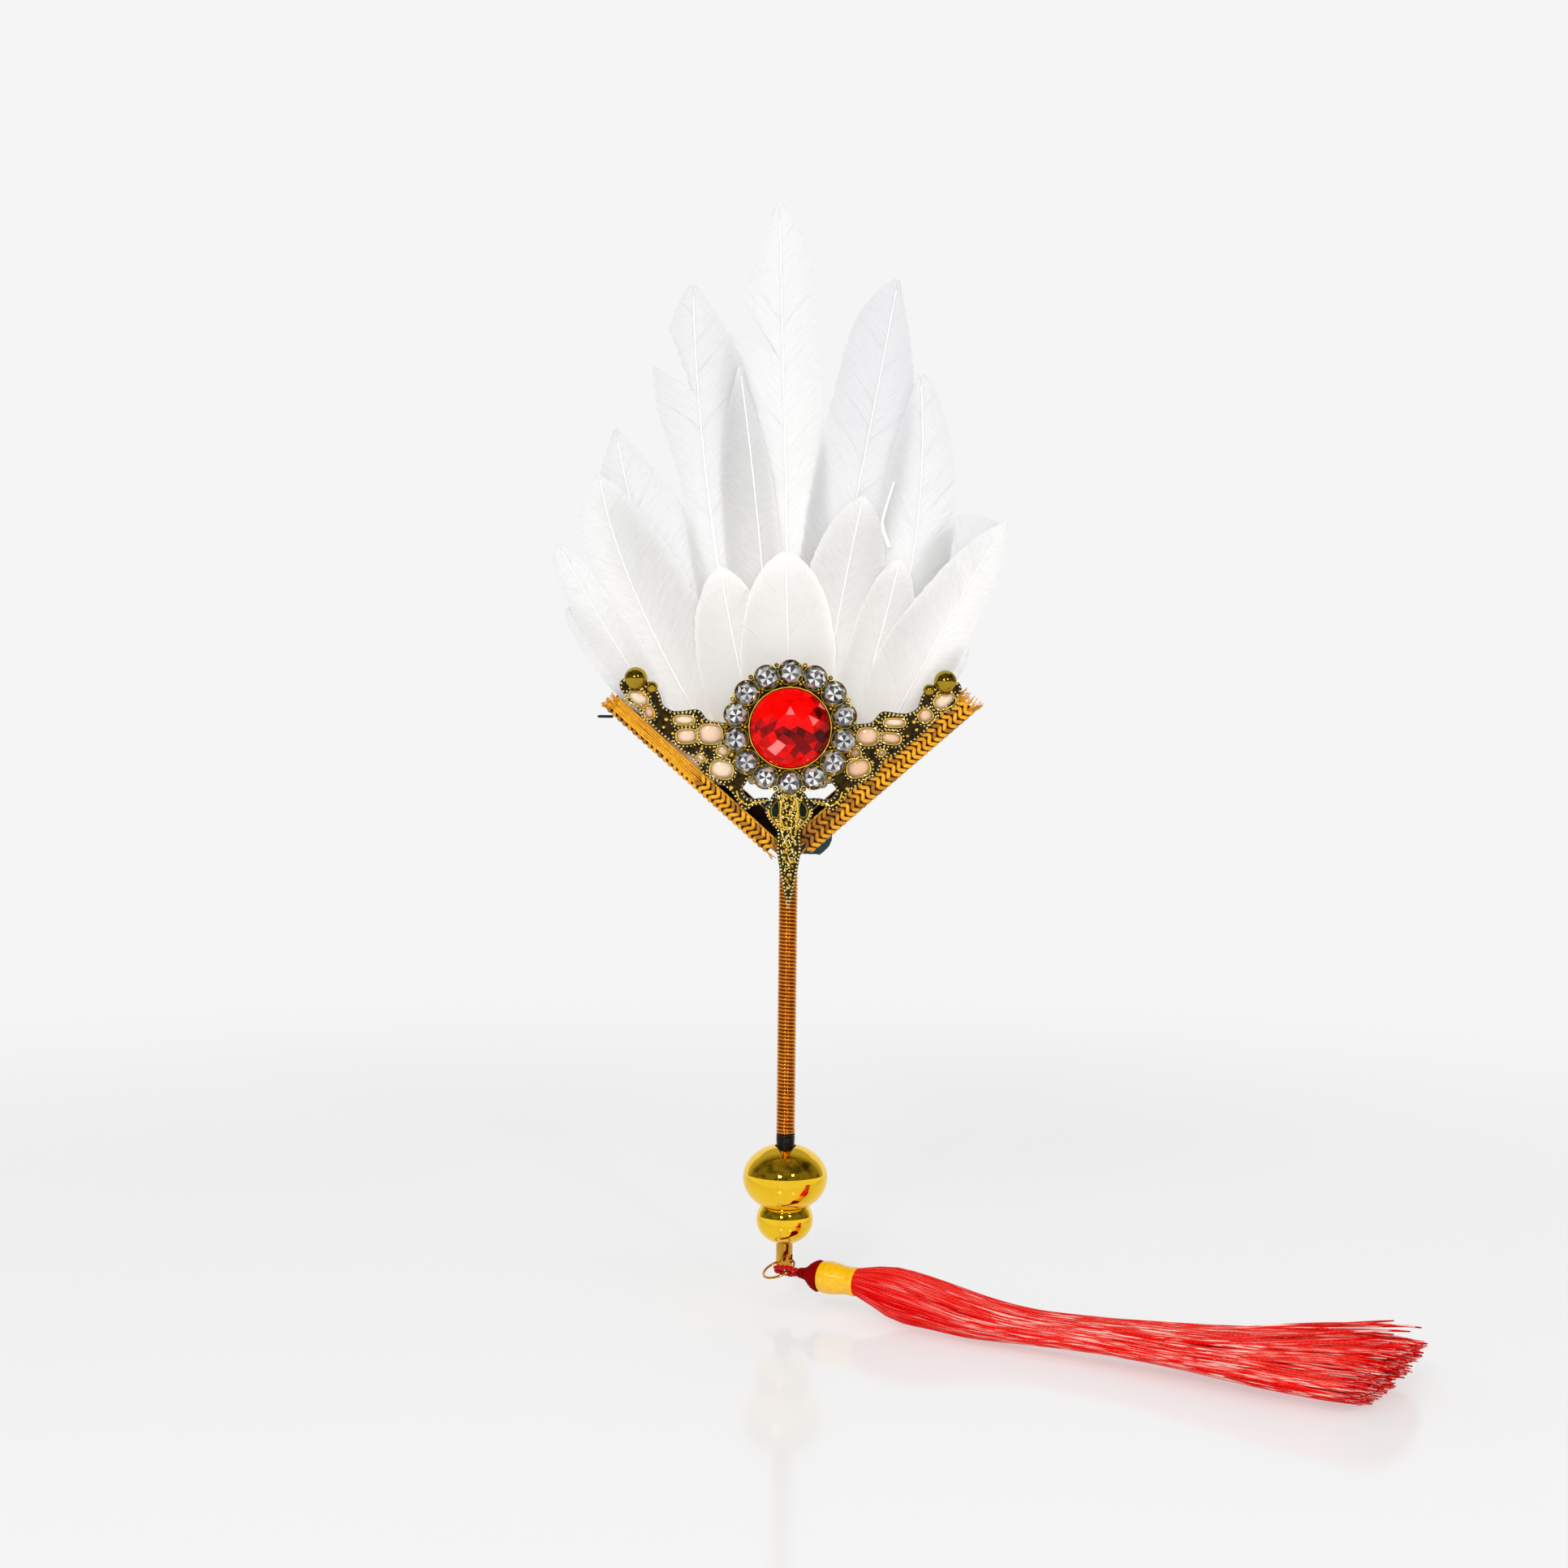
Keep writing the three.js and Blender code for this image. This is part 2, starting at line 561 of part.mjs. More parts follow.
function addWing(side, wingName, beadName) {
  const span = filigree.span;
  const centreRise = cluster.rise;
  const place = ([x, z]) => [span * x, centreRise + span * z];
  const shape = new THREE.Shape(smoothClosed(wingOutlineShares.map(place), filigree.spanSteps));
  for (const [x, z, halfX, halfZ] of wingCellShares) {
    const [cellX, cellZ] = place([x, z]);
    const hole = new THREE.Path();
    hole.absellipse(cellX, cellZ, span * halfX, span * halfZ, 0, 2 * Math.PI, true);
    shape.holes.push(hole);
  }
  const [smallX, smallZ] = place(smallBeadShare);
  const [beadX, beadZ] = place(endBeadShare);
  const middleDepth = filigreeBack - filigree.thickness / 2;
  const ball = (radius, x, z) => new THREE.SphereGeometry(radius, 12, 8).translate(x, middleDepth, z);
  const smallBead = ball(filigree.smallBead, smallX, smallZ);
  const seat = ball(filigree.bead + clearance, beadX, beadZ);
  const wing = cut(join(plate(shape, filigreeBack, filigree.thickness), smallBead), seat);
  const bead = ball(filigree.bead, beadX, beadZ);
  if (side < 0) {
    mirror(wing);
    mirror(bead);
  }
  addPiece(head, wingName, wing, paints.antique);
  addPiece(head, beadName, bead, paints.antique);
}

// Leaf drop below the cluster: a narrow leaf whose tongue runs down over the winding
const leafOutlineShares = [
  [0, -1], [0.3, -0.86], [0.62, -0.6], [1, -0.5], [1.1, -0.36], [0.72, -0.28], [1.5, -0.24],
  [1.95, -0.1], [1.5, 0.02], [0.9, -0.03], [0, 0.04],
];

function addLeaf() {
  const place = ([x, z]) => new THREE.Vector2(leaf.halfWidth * x, leaf.rise + leaf.length * z);
  const half = leafOutlineShares.map(place);
  const other = half.slice(1, -1).map((point) => new THREE.Vector2(-point.x, point.y)).reverse();
  const outline = new THREE.Shape([...half, ...other]);
  addPiece(head, "leaf_drop", plate(outline, filigreeBack, leaf.thickness), paints.antique);
}

// Cluster: a plate with a bezel, the red stone in it and a ring of small stones round it
function facingFront(profile, segments, back, x, z) {
  return turned(profile, segments).rotateX(Math.PI / 2).translate(x, back, z);
}

const redCrownShares = [[0.82, 0.66], [0.48, 0.95], [0, 1]];

function addCluster() {
  const { plate: thick, redRadius, redHeight, redGirdle, stoneRadius, stoneHeight } = cluster;
  const bezelInner = redRadius + cluster.bezelPlay;
  const bezelOuter = bezelInner + cluster.bezelWall;
  const rim = cluster.ringRadius + cluster.plateMargin;
  const plateProfile = [
    [0, 0], [rim, 0], [rim, thick], [bezelOuter, thick], [bezelOuter, thick + cluster.bezelHeight],
    [bezelInner, thick + cluster.bezelHeight], [bezelInner, thick], [0, thick],
  ];
  addPiece(head, "cluster_plate",
    facingFront(plateProfile, cluster.segments, clusterBack, 0, cluster.rise), paints.antique);

  const redProfile = [
    [0, 0], [redRadius, 0], [redRadius, redGirdle],
    ...redCrownShares.map(([radius, height]) => [redRadius * radius, redHeight * height]),
  ];
  addPiece(head, "red_stone", facingFront(redProfile, 20, stoneBack, 0, cluster.rise), paints.redGlass);

  const stoneProfile = [
    [0, 0], [stoneRadius, 0], [stoneRadius, cluster.girdle], [cluster.tableRadius, stoneHeight],
    [0, stoneHeight],
  ];
  for (let k = 0; k < cluster.count; k += 1) {
    const angle = k / cluster.count * 2 * Math.PI;
    const x = cluster.ringRadius * Math.sin(angle);
    const z = cluster.rise + cluster.ringRadius * Math.cos(angle);
    const name = `small_stone_${String(k + 1).padStart(2, "0")}`;
    addPiece(head, name, facingFront(stoneProfile, 10, stoneBack, x, z), paints.crystal);
  }
}

// Stations along a feather, from quill to tip
const vaneStations = [0, 0.12, 0.25, 0.4, 0.55, 0.7, 0.8, 0.88, 0.94, 0.98, 1];

// Feathers as shares of the fan's reach: quill end, middle and tip of the shaft, then the widths
// of the left and right vane at each station before the tip, then the corners of any splits
const featherShares = {
  centre_tall: {
    layer: 6, path: [[0, 0.13], [-0.009, 0.52], [-0.025, 1]],
    left: [0.011, 0.03, 0.06, 0.082, 0.097, 0.099, 0.086, 0.052, 0.029, 0.012],
    right: [0.011, 0.03, 0.052, 0.067, 0.067, 0.061, 0.054, 0.052, 0.04, 0.018],
    splits: [
      [[-0.019, 0.763], [-0.089, 0.855], [-0.134, 0.84], [-0.11, 0.813]],
    ],
  },
  right_tall: {
    layer: 5, path: [[0.022, 0.15], [0.098, 0.56], [0.156, 0.886]],
    left: [0.007, 0.03, 0.06, 0.071, 0.073, 0.066, 0.062, 0.054, 0.037, 0.018],
    right: [0.007, 0.03, 0.056, 0.067, 0.071, 0.063, 0.048, 0.03, 0.015, 0.006],
  },
  left_tall: {
    layer: 4, path: [[-0.058, 0.15], [-0.127, 0.55], [-0.153, 0.874]],
    left: [0.007, 0.022, 0.037, 0.041, 0.04, 0.066, 0.069, 0.042, 0.026, 0.015],
    right: [0.011, 0.037, 0.075, 0.097, 0.099, 0.087, 0.072, 0.051, 0.028, 0.011],
    splits: [
      [[-0.151, 0.712], [-0.184, 0.8], [-0.239, 0.794], [-0.216, 0.758]],
    ],
  },
  left_inner: {
    layer: 3, path: [[-0.022, 0.15], [-0.047, 0.465], [-0.082, 0.754]],
    left: [0.007, 0.022, 0.045, 0.056, 0.056, 0.052, 0.042, 0.029, 0.016, 0.007],
    right: [0.007, 0.022, 0.033, 0.033, 0.032, 0.03, 0.022, 0.014, 0.007, 0.004],
  },
  right_upper: {
    layer: 3, path: [[0.09, 0.14], [0.18, 0.44], [0.191, 0.745]],
    left: [0.007, 0.026, 0.049, 0.058, 0.062, 0.058, 0.049, 0.034, 0.019, 0.008],
    right: [0.007, 0.03, 0.045, 0.052, 0.058, 0.057, 0.048, 0.037, 0.026, 0.015],
    splits: [
      [[0.209, 0.542], [0.257, 0.594], [0.263, 0.573]],
      [[0.206, 0.497], [0.258, 0.548], [0.263, 0.525]],
    ],
  },
  right_back: {
    layer: 4, path: [[0.119, 0.17], [0.209, 0.373], [0.312, 0.521]],
    left: [0.007, 0.022, 0.037, 0.052, 0.06, 0.063, 0.063, 0.061, 0.041, 0.019],
    right: [0.007, 0.015, 0.022, 0.022, 0.022, 0.022, 0.022, 0.019, 0.011, 0.006],
  },
  right_low: {
    layer: 0, path: [[0.125, 0.15], [0.232, 0.36], [0.324, 0.522]],
    left: [0.015, 0.052, 0.071, 0.071, 0.06, 0.048, 0.037, 0.027, 0.016, 0.007],
    right: [0.007, 0.022, 0.037, 0.047, 0.043, 0.039, 0.035, 0.025, 0.015, 0.007],
  },
  left_upper: {
    layer: 5, path: [[-0.095, 0.165], [-0.205, 0.41], [-0.27, 0.658]],
    left: [0.007, 0.022, 0.037, 0.045, 0.049, 0.049, 0.045, 0.036, 0.019, 0.007],
    right: [0.007, 0.037, 0.067, 0.082, 0.086, 0.082, 0.064, 0.041, 0.02, 0.007],
  },
  left_middle: {
    layer: 2, path: [[-0.103, 0.15], [-0.235, 0.4], [-0.293, 0.588]],
    left: [0.007, 0.022, 0.037, 0.047, 0.051, 0.051, 0.048, 0.037, 0.022, 0.01],
    right: [0.007, 0.045, 0.075, 0.087, 0.084, 0.067, 0.051, 0.036, 0.022, 0.009],
  },
  left_low: {
    layer: 0, path: [[-0.18, 0.19], [-0.272, 0.338], [-0.354, 0.48]],
    left: [0.007, 0.015, 0.022, 0.03, 0.034, 0.034, 0.031, 0.027, 0.022, 0.013],
    right: [0.007, 0.022, 0.034, 0.037, 0.034, 0.028, 0.024, 0.022, 0.016, 0.01],
  },
  left_bottom: {
    layer: 3, path: [[-0.19, 0.2], [-0.268, 0.292], [-0.342, 0.385]],
    left: [0.007, 0.015, 0.022, 0.027, 0.027, 0.025, 0.022, 0.019, 0.015, 0.007],
    right: [0.007, 0.022, 0.03, 0.03, 0.03, 0.03, 0.026, 0.022, 0.015, 0.007],
  },
  right_bottom: {
    layer: 1, path: [[0.165, 0.19], [0.221, 0.26], [0.271, 0.33]],
    left: [0.007, 0.018, 0.024, 0.027, 0.027, 0.025, 0.022, 0.019, 0.013, 0.007],
    right: [0.007, 0.011, 0.015, 0.018, 0.018, 0.016, 0.015, 0.012, 0.007, 0.004],
  },
  front_centre: {
    layer: 0, path: [[0, 0.135], [-0.004, 0.315], [-0.01, 0.475]],
    left: [0.015, 0.045, 0.067, 0.075, 0.075, 0.067, 0.058, 0.045, 0.03, 0.015],
    right: [0.015, 0.045, 0.067, 0.075, 0.075, 0.067, 0.058, 0.045, 0.03, 0.015],
  },
  front_left: {
    layer: 1, path: [[-0.045, 0.145], [-0.08, 0.3], [-0.11, 0.45]],
    left: [0.015, 0.037, 0.056, 0.063, 0.063, 0.057, 0.049, 0.037, 0.025, 0.012],
    right: [0.015, 0.037, 0.054, 0.06, 0.06, 0.055, 0.047, 0.036, 0.024, 0.012],
  },
  front_right: {
    layer: 2, path: [[0.037, 0.145], [0.071, 0.37], [0.108, 0.56]],
    left: [0.015, 0.037, 0.056, 0.063, 0.063, 0.057, 0.049, 0.037, 0.025, 0.012],
    right: [0.015, 0.037, 0.056, 0.065, 0.066, 0.06, 0.051, 0.04, 0.026, 0.013],
  },
  front_outer: {
    layer: 1, path: [[0.08, 0.14], [0.127, 0.31], [0.165, 0.465]],
    left: [0.011, 0.03, 0.042, 0.046, 0.046, 0.042, 0.036, 0.028, 0.019, 0.01],
    right: [0.011, 0.03, 0.043, 0.049, 0.051, 0.046, 0.04, 0.031, 0.021, 0.01],
  },
};

function featherGeometry({ path, left, right, splits = [] }) {
  const reach = featherStack.reach;
  const flat = ([x, z]) => new THREE.Vector3(x * reach, 0, z * reach);
  const [quill, middle, tip] = path.map(flat);
  const control = middle.clone().multiplyScalar(2).sub(quill.clone().add(tip).multiplyScalar(0.5));
  const shaft = new THREE.QuadraticBezierCurve3(quill, control, tip);
  const thin = featherStack.edgeHalfDepth;
  const rings = vaneStations.map((t, k) => {
    const atTip = k === vaneStations.length - 1;
    const at = shaft.getPoint(t);
    const along = shaft.getTangent(t);
    const sideways = new THREE.Vector3(along.z, 0, -along.x);
    const leftWidth = atTip ? featherStack.tipHalfWidth : left[k] * reach;
    const rightWidth = atTip ? featherStack.tipHalfWidth : right[k] * reach;
    const lift = atTip ? thin : featherStack.quillHalfDepth;
    const point = (across, depth) => at.clone().addScaledVector(sideways, across).setY(depth);
    return [
      point(rightWidth, thin), point(0, lift), point(-leftWidth, thin),
      point(-leftWidth, -thin), point(0, -lift), point(rightWidth, -thin),
    ];
  });
  const body = skin(rings);
  if (splits.length === 0) return body;
  const wedges = splits.map((corners) => {
    const outline = corners.map(flat).map((corner) => new THREE.Vector2(corner.x, corner.z));
    return plate(new THREE.Shape(outline), cutOverrun, 2 * cutOverrun);
  });
  return cut(body, ...wedges);
}

function addFeathers() {
  for (const [name, feather] of Object.entries(featherShares)) {
    const piece = addPiece(head, `feather_${name}`, featherGeometry(feather), paints.feather);
    piece.position.y = featherStack.firstDepth + featherStack.pitch * feather.layer;
  }
}

// Backing patch of felt behind the apex, with the fan's one flat rest face
const patchOutlineShares = [
  [-0.28, 0.03], [0.61, 0], [0.73, 0], [0.93, 0.14], [1, 0.3], [0.94, 0.85], [0.7, 1], [-0.33, 0.92],
  [-0.77, 0.85], [-0.87, 0.6],
];

function addPatch() {
  const place = ([x, z]) => new THREE.Vector2(patch.halfWidth * x, patch.footRise + patch.height * z);
  const outline = new THREE.Shape(patchOutlineShares.map(place));
  addPiece(head, "back_patch", plate(outline, patchFront + patch.thickness, patch.thickness), paints.felt);
}

// Pin end that stands out beside the top of the left strap
function addPin() {
  const [wallX, wallZ] = onV(-1, holder.length - pin.fromTop, 0);
  const body = new THREE.CylinderGeometry(pin.radius, pin.radius, pin.length, 8)
    .rotateZ(Math.PI / 2)
    .translate(wallX - clearance - pin.radius - pin.length / 2, -pin.depth, wallZ);
  addPiece(head, "pin_end", body, paints.thread);
}

addHandle();
addBinding();
addGourd();
addRing();
addLoop();
addKnot();
addWrap();
addSkirt();
addBed();
addStrap("left_strap", -1, holder.leftFlap);
addStrap("right_strap", 1, holder.rightFlap);
addWing(-1, "left_wing", "left_end_bead");
addWing(1, "right_wing", "right_end_bead");
addLeaf();
addCluster();
addFeathers();
addPatch();
addPin();

export default fan;
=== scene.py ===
"""Looks for a small feather hand fan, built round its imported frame.

Sizes are in millimetres until a mesh is made.
"""
import math
import random

import bmesh
import bpy
import numpy as np
from mathutils import Matrix, Vector, noise


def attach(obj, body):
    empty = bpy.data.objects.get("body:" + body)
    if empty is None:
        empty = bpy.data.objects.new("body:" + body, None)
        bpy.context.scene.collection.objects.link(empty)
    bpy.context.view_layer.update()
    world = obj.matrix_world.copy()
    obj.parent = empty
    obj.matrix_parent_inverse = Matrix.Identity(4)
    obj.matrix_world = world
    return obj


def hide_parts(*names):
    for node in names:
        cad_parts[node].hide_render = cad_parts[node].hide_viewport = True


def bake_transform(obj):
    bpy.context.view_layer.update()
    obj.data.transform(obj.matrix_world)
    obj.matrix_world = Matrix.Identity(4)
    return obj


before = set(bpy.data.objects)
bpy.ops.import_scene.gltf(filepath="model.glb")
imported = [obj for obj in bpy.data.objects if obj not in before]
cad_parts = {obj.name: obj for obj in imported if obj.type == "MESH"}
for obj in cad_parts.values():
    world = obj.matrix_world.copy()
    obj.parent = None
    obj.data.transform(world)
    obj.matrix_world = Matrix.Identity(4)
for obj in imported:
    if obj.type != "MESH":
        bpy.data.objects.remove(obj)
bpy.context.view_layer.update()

MM = 0.001
TAU = 2 * math.pi
# The background's white, as linear light
WHITE = 0.913
# The winding reaches this far up and down from the frame's origin
GRIP_TOP = 28.75
# From the grip's top to the tallest feather's tip
REACH = 134.0


def placed(name, data):
    """A new object, linked to the scene."""
    made = bpy.data.objects.new(name, data)
    bpy.context.scene.collection.objects.link(made)
    return made


# Camera: it stands in front of the fan and looks slightly down
def make_camera():
    data = bpy.data.cameras.new("camera")
    data.lens, data.sensor_width, data.clip_start = 72.67, 36, 0.01
    camera = placed("camera", data)
    tilt, roll, distance = math.radians(8), math.radians(0.616), 650
    target = Vector((-1.117, 0, 44.617)) * MM
    camera.location = target + Vector((0, -math.cos(tilt), math.sin(tilt))) * distance * MM
    turn = (target - camera.location).to_track_quat("-Z", "Y").to_matrix().to_4x4()
    camera.matrix_world = Matrix.Translation(camera.location) @ turn @ Matrix.Rotation(roll, 4, "Z")
    bpy.context.scene.camera = camera


make_camera()
bpy.context.scene.view_settings.view_transform = "Standard"


# Node helpers
def linear(r, g, b):
    """An sRGB colour of 0 to 255 as linear RGBA."""
    def one(v):
        v = v / 255
        return v / 12.92 if v <= 0.04045 else ((v + 0.055) / 1.055) ** 2.4
    return (one(r), one(g), one(b), 1)


def grey(value):
    return (value, value, value, 1)


def shade(colour, share):
    return tuple(min(1, c * share) for c in colour[:3]) + (1,)


def wire(made, **inputs):
    """Sets a node's properties and sockets by name. An output that is given as a value is linked."""
    for key, value in inputs.items():
        if hasattr(made, key):
            setattr(made, key, value)
            continue
        socket = made.inputs[key.replace("_", " ")]
        if isinstance(value, bpy.types.NodeSocket):
            made.id_data.links.new(value, socket)
        else:
            socket.default_value = value
    return made


def node(tree, kind, **inputs):
    return wire(tree.nodes.new("ShaderNode" + kind), **inputs)


def new_material(name):
    mat = bpy.data.materials.new(name)
    mat.use_nodes = True
    return mat, mat.node_tree, mat.node_tree.nodes["Principled BSDF"]


def ramp(tree, factor, *stops):
    made = node(tree, "ValToRGB", Fac=factor)
    elements = made.color_ramp.elements
    while len(elements) < len(stops):
        elements.new(0.5)
    for element, (place, colour) in zip(elements, stops):
        element.position = place
        element.color = colour
    return made.outputs["Color"]


def tint_of(tree):
    return node(tree, "Attribute", attribute_name="tint").outputs["Fac"]


def place_of(tree, stretch=(1, 1, 1)):
    """The object's own place in metres, for a texture."""
    source = node(tree, "TexCoord").outputs["Object"]
    return node(tree, "Mapping", Scale=stretch, Vector=source).outputs["Vector"]


def lay_of(tree, stretch=(1, 1, 1)):
    """The painted lay, for a texture that runs along yarns or barbs."""
    source = node(tree, "Attribute", attribute_name="lay").outputs["Vector"]
    return node(tree, "Mapping", Scale=stretch, Vector=source).outputs["Vector"]


def noise_of(tree, vector, scale=1.0, detail=3.0):
    return node(tree, "TexNoise", Scale=scale, Detail=detail, Vector=vector).outputs["Fac"]


def span_of(tree, factor, low=0.0, high=1.0, **options):
    return node(tree, "MapRange", Value=factor, To_Min=low, To_Max=high, **options).outputs["Result"]


def bump_of(tree, height, strength, distance):
    return node(tree, "Bump", Strength=strength, Distance=distance, Height=height).outputs["Normal"]


def reckon(tree, operation, first, second):
    made = node(tree, "Math", operation=operation)
    tree.links.new(first, made.inputs[0])
    tree.links.new(second, made.inputs[1])
    return made.outputs[0]


def mix_of(tree, factor, first, second, blend="MIX"):
    made = node(tree, "Mix", data_type="RGBA", blend_type=blend, Factor=factor, A=first, B=second)
    return made.outputs["Result"]


def multiply(tree, first, second):
    return mix_of(tree, 1.0, first, second, "MULTIPLY")


def mix_shaders(tree, factor, first, second):
    made = node(tree, "MixShader", Fac=factor)
    tree.links.new(first.outputs[0], made.inputs[1])
    tree.links.new(second.outputs[0], made.inputs[2])
    return made.outputs[0]


# Finishes
def surface(name, colour, rough, metal=0.0, spread=0.15, grain=400, stretch=(1, 1, 1), bump=0.2,
            depth=0.00005, tints=None, **sockets):
    """A finish whose colour, roughness and relief vary with a grain, and with the painted tint if asked."""
    mat, tree, bsdf = new_material(name)
    grains = noise_of(tree, place_of(tree, stretch), grain)
    base = ramp(tree, grains, (0.3, shade(colour, 1 - spread)), (0.7, shade(colour, 1 + spread)))
    if tints:
        base = multiply(tree, base, ramp(tree, tint_of(tree), *tints))
    wire(bsdf, Base_Color=base, Roughness=span_of(tree, grains, rough * 0.75, rough * 1.25),
         Normal=bump_of(tree, grains, bump, depth), Metallic=metal, **sockets)
    return mat


def feather_finish():
    """White barbs with painted shade lines between them, warmer near the quills. Feathers of a low tone are
    painted shaded, and each vane has a painted glow that is strongest near the quills.
    """
    mat, tree, bsdf = new_material("feather_vane")
    barbs = noise_of(tree, lay_of(tree, (2.2, 0.35, 1)), detail=4.0)
    tint = tint_of(tree)
    # Painted shade: the lines between the barbs are painted darker
    lines = ramp(tree, barbs, (0.25, (0.87, 0.87, 0.885, 1)), (0.5, (0.95, 0.95, 0.956, 1)), (0.75, grey(1)))
    body = ramp(tree, tint, (0, linear(208, 208, 213)), (0.35, linear(219, 219, 222)),
                (0.7, linear(230, 230, 229)), (1, linear(255, 252, 247)))
    # Painted glow: this emission stands in for light that shines through the thin vanes, most near the
    # quills
    through = ramp(tree, tint, (0.3, grey(0.025)), (1, (0.09, 0.088, 0.084, 1)))
    wire(bsdf, Base_Color=multiply(tree, body, lines), Roughness=span_of(tree, barbs, 0.75, 0.55),
         Normal=bump_of(tree, barbs, 0.2, 0.0001), Specular_IOR_Level=0.2,
         Subsurface_Weight=0.6, Subsurface_Scale=0.003, Subsurface_Radius=(1, 1, 1),
         Emission_Color=through, Emission_Strength=1.0)
    return mat


def silk_finish():
    """Twisted red yarn: plies show as slanted bands with painted shade in their grooves, and painted pale
    glints come in patches.
    """
    mat, tree, bsdf = new_material("silk_yarn")
    lay = lay_of(tree)
    wave = node(tree, "TexWave", bands_direction="DIAGONAL", Scale=0.62, Distortion=0.8, Vector=lay)
    plies = wave.outputs["Fac"]
    fibres = noise_of(tree, lay_of(tree, (0.9, 4, 1)))
    body = ramp(tree, tint_of(tree), (0, linear(130, 0, 2)), (0.3, linear(220, 0, 3)),
                (0.6, linear(252, 8, 8)), (1, linear(255, 62, 50)))
    # Painted shade: the grooves between the plies are painted darker
    bands = ramp(tree, plies, (0.1, (0.78, 0.76, 0.76, 1)), (0.6, grey(1)))
    lines = ramp(tree, fibres, (0.3, grey(0.8)), (0.6, grey(1)))
    red = multiply(tree, multiply(tree, body, bands), lines)
    # Painted highlights: pale glints in patches, fewer near the wrap
    patches = noise_of(tree, lay_of(tree, (0.05, 0.5, 3.1)), detail=2.0)
    dashes = noise_of(tree, lay_of(tree, (0.16, 3, 7)), detail=2.0)
    painted_glint = reckon(tree, "MULTIPLY", ramp(tree, patches, (0.43, grey(0)), (0.6, grey(1))),
                   ramp(tree, dashes, (0.48, grey(0)), (0.62, grey(1))))
    run = node(tree, "SeparateXYZ", Vector=lay).outputs["X"]
    grown = span_of(tree, run, 0.08, 1.1, From_Min=14.0, From_Max=60.0)
    colour = mix_of(tree, reckon(tree, "MULTIPLY", painted_glint, grown), red, linear(255, 222, 208))
    wire(bsdf, Base_Color=colour, Roughness=span_of(tree, fibres, 0.35, 0.55),
         Normal=bump_of(tree, plies, 0.4, 0.00006), Specular_IOR_Level=0.015)
    return mat


def facet_finish(name, rough, metal, *stops, **sockets):
    """Cut glass on a foil back: each facet has its own painted tint, which paints the light and shade seen
    in the stone.
    """
    mat, tree, bsdf = new_material(name)
    cloud = noise_of(tree, place_of(tree), 700, 2.0)
    clouds = ramp(tree, cloud, (0.3, grey(0.8)), (0.6, grey(1)))
    wire(bsdf, Base_Color=multiply(tree, ramp(tree, tint_of(tree), *stops), clouds),
         Roughness=span_of(tree, cloud, rough, rough * 2), Metallic=metal, **sockets)
    return mat


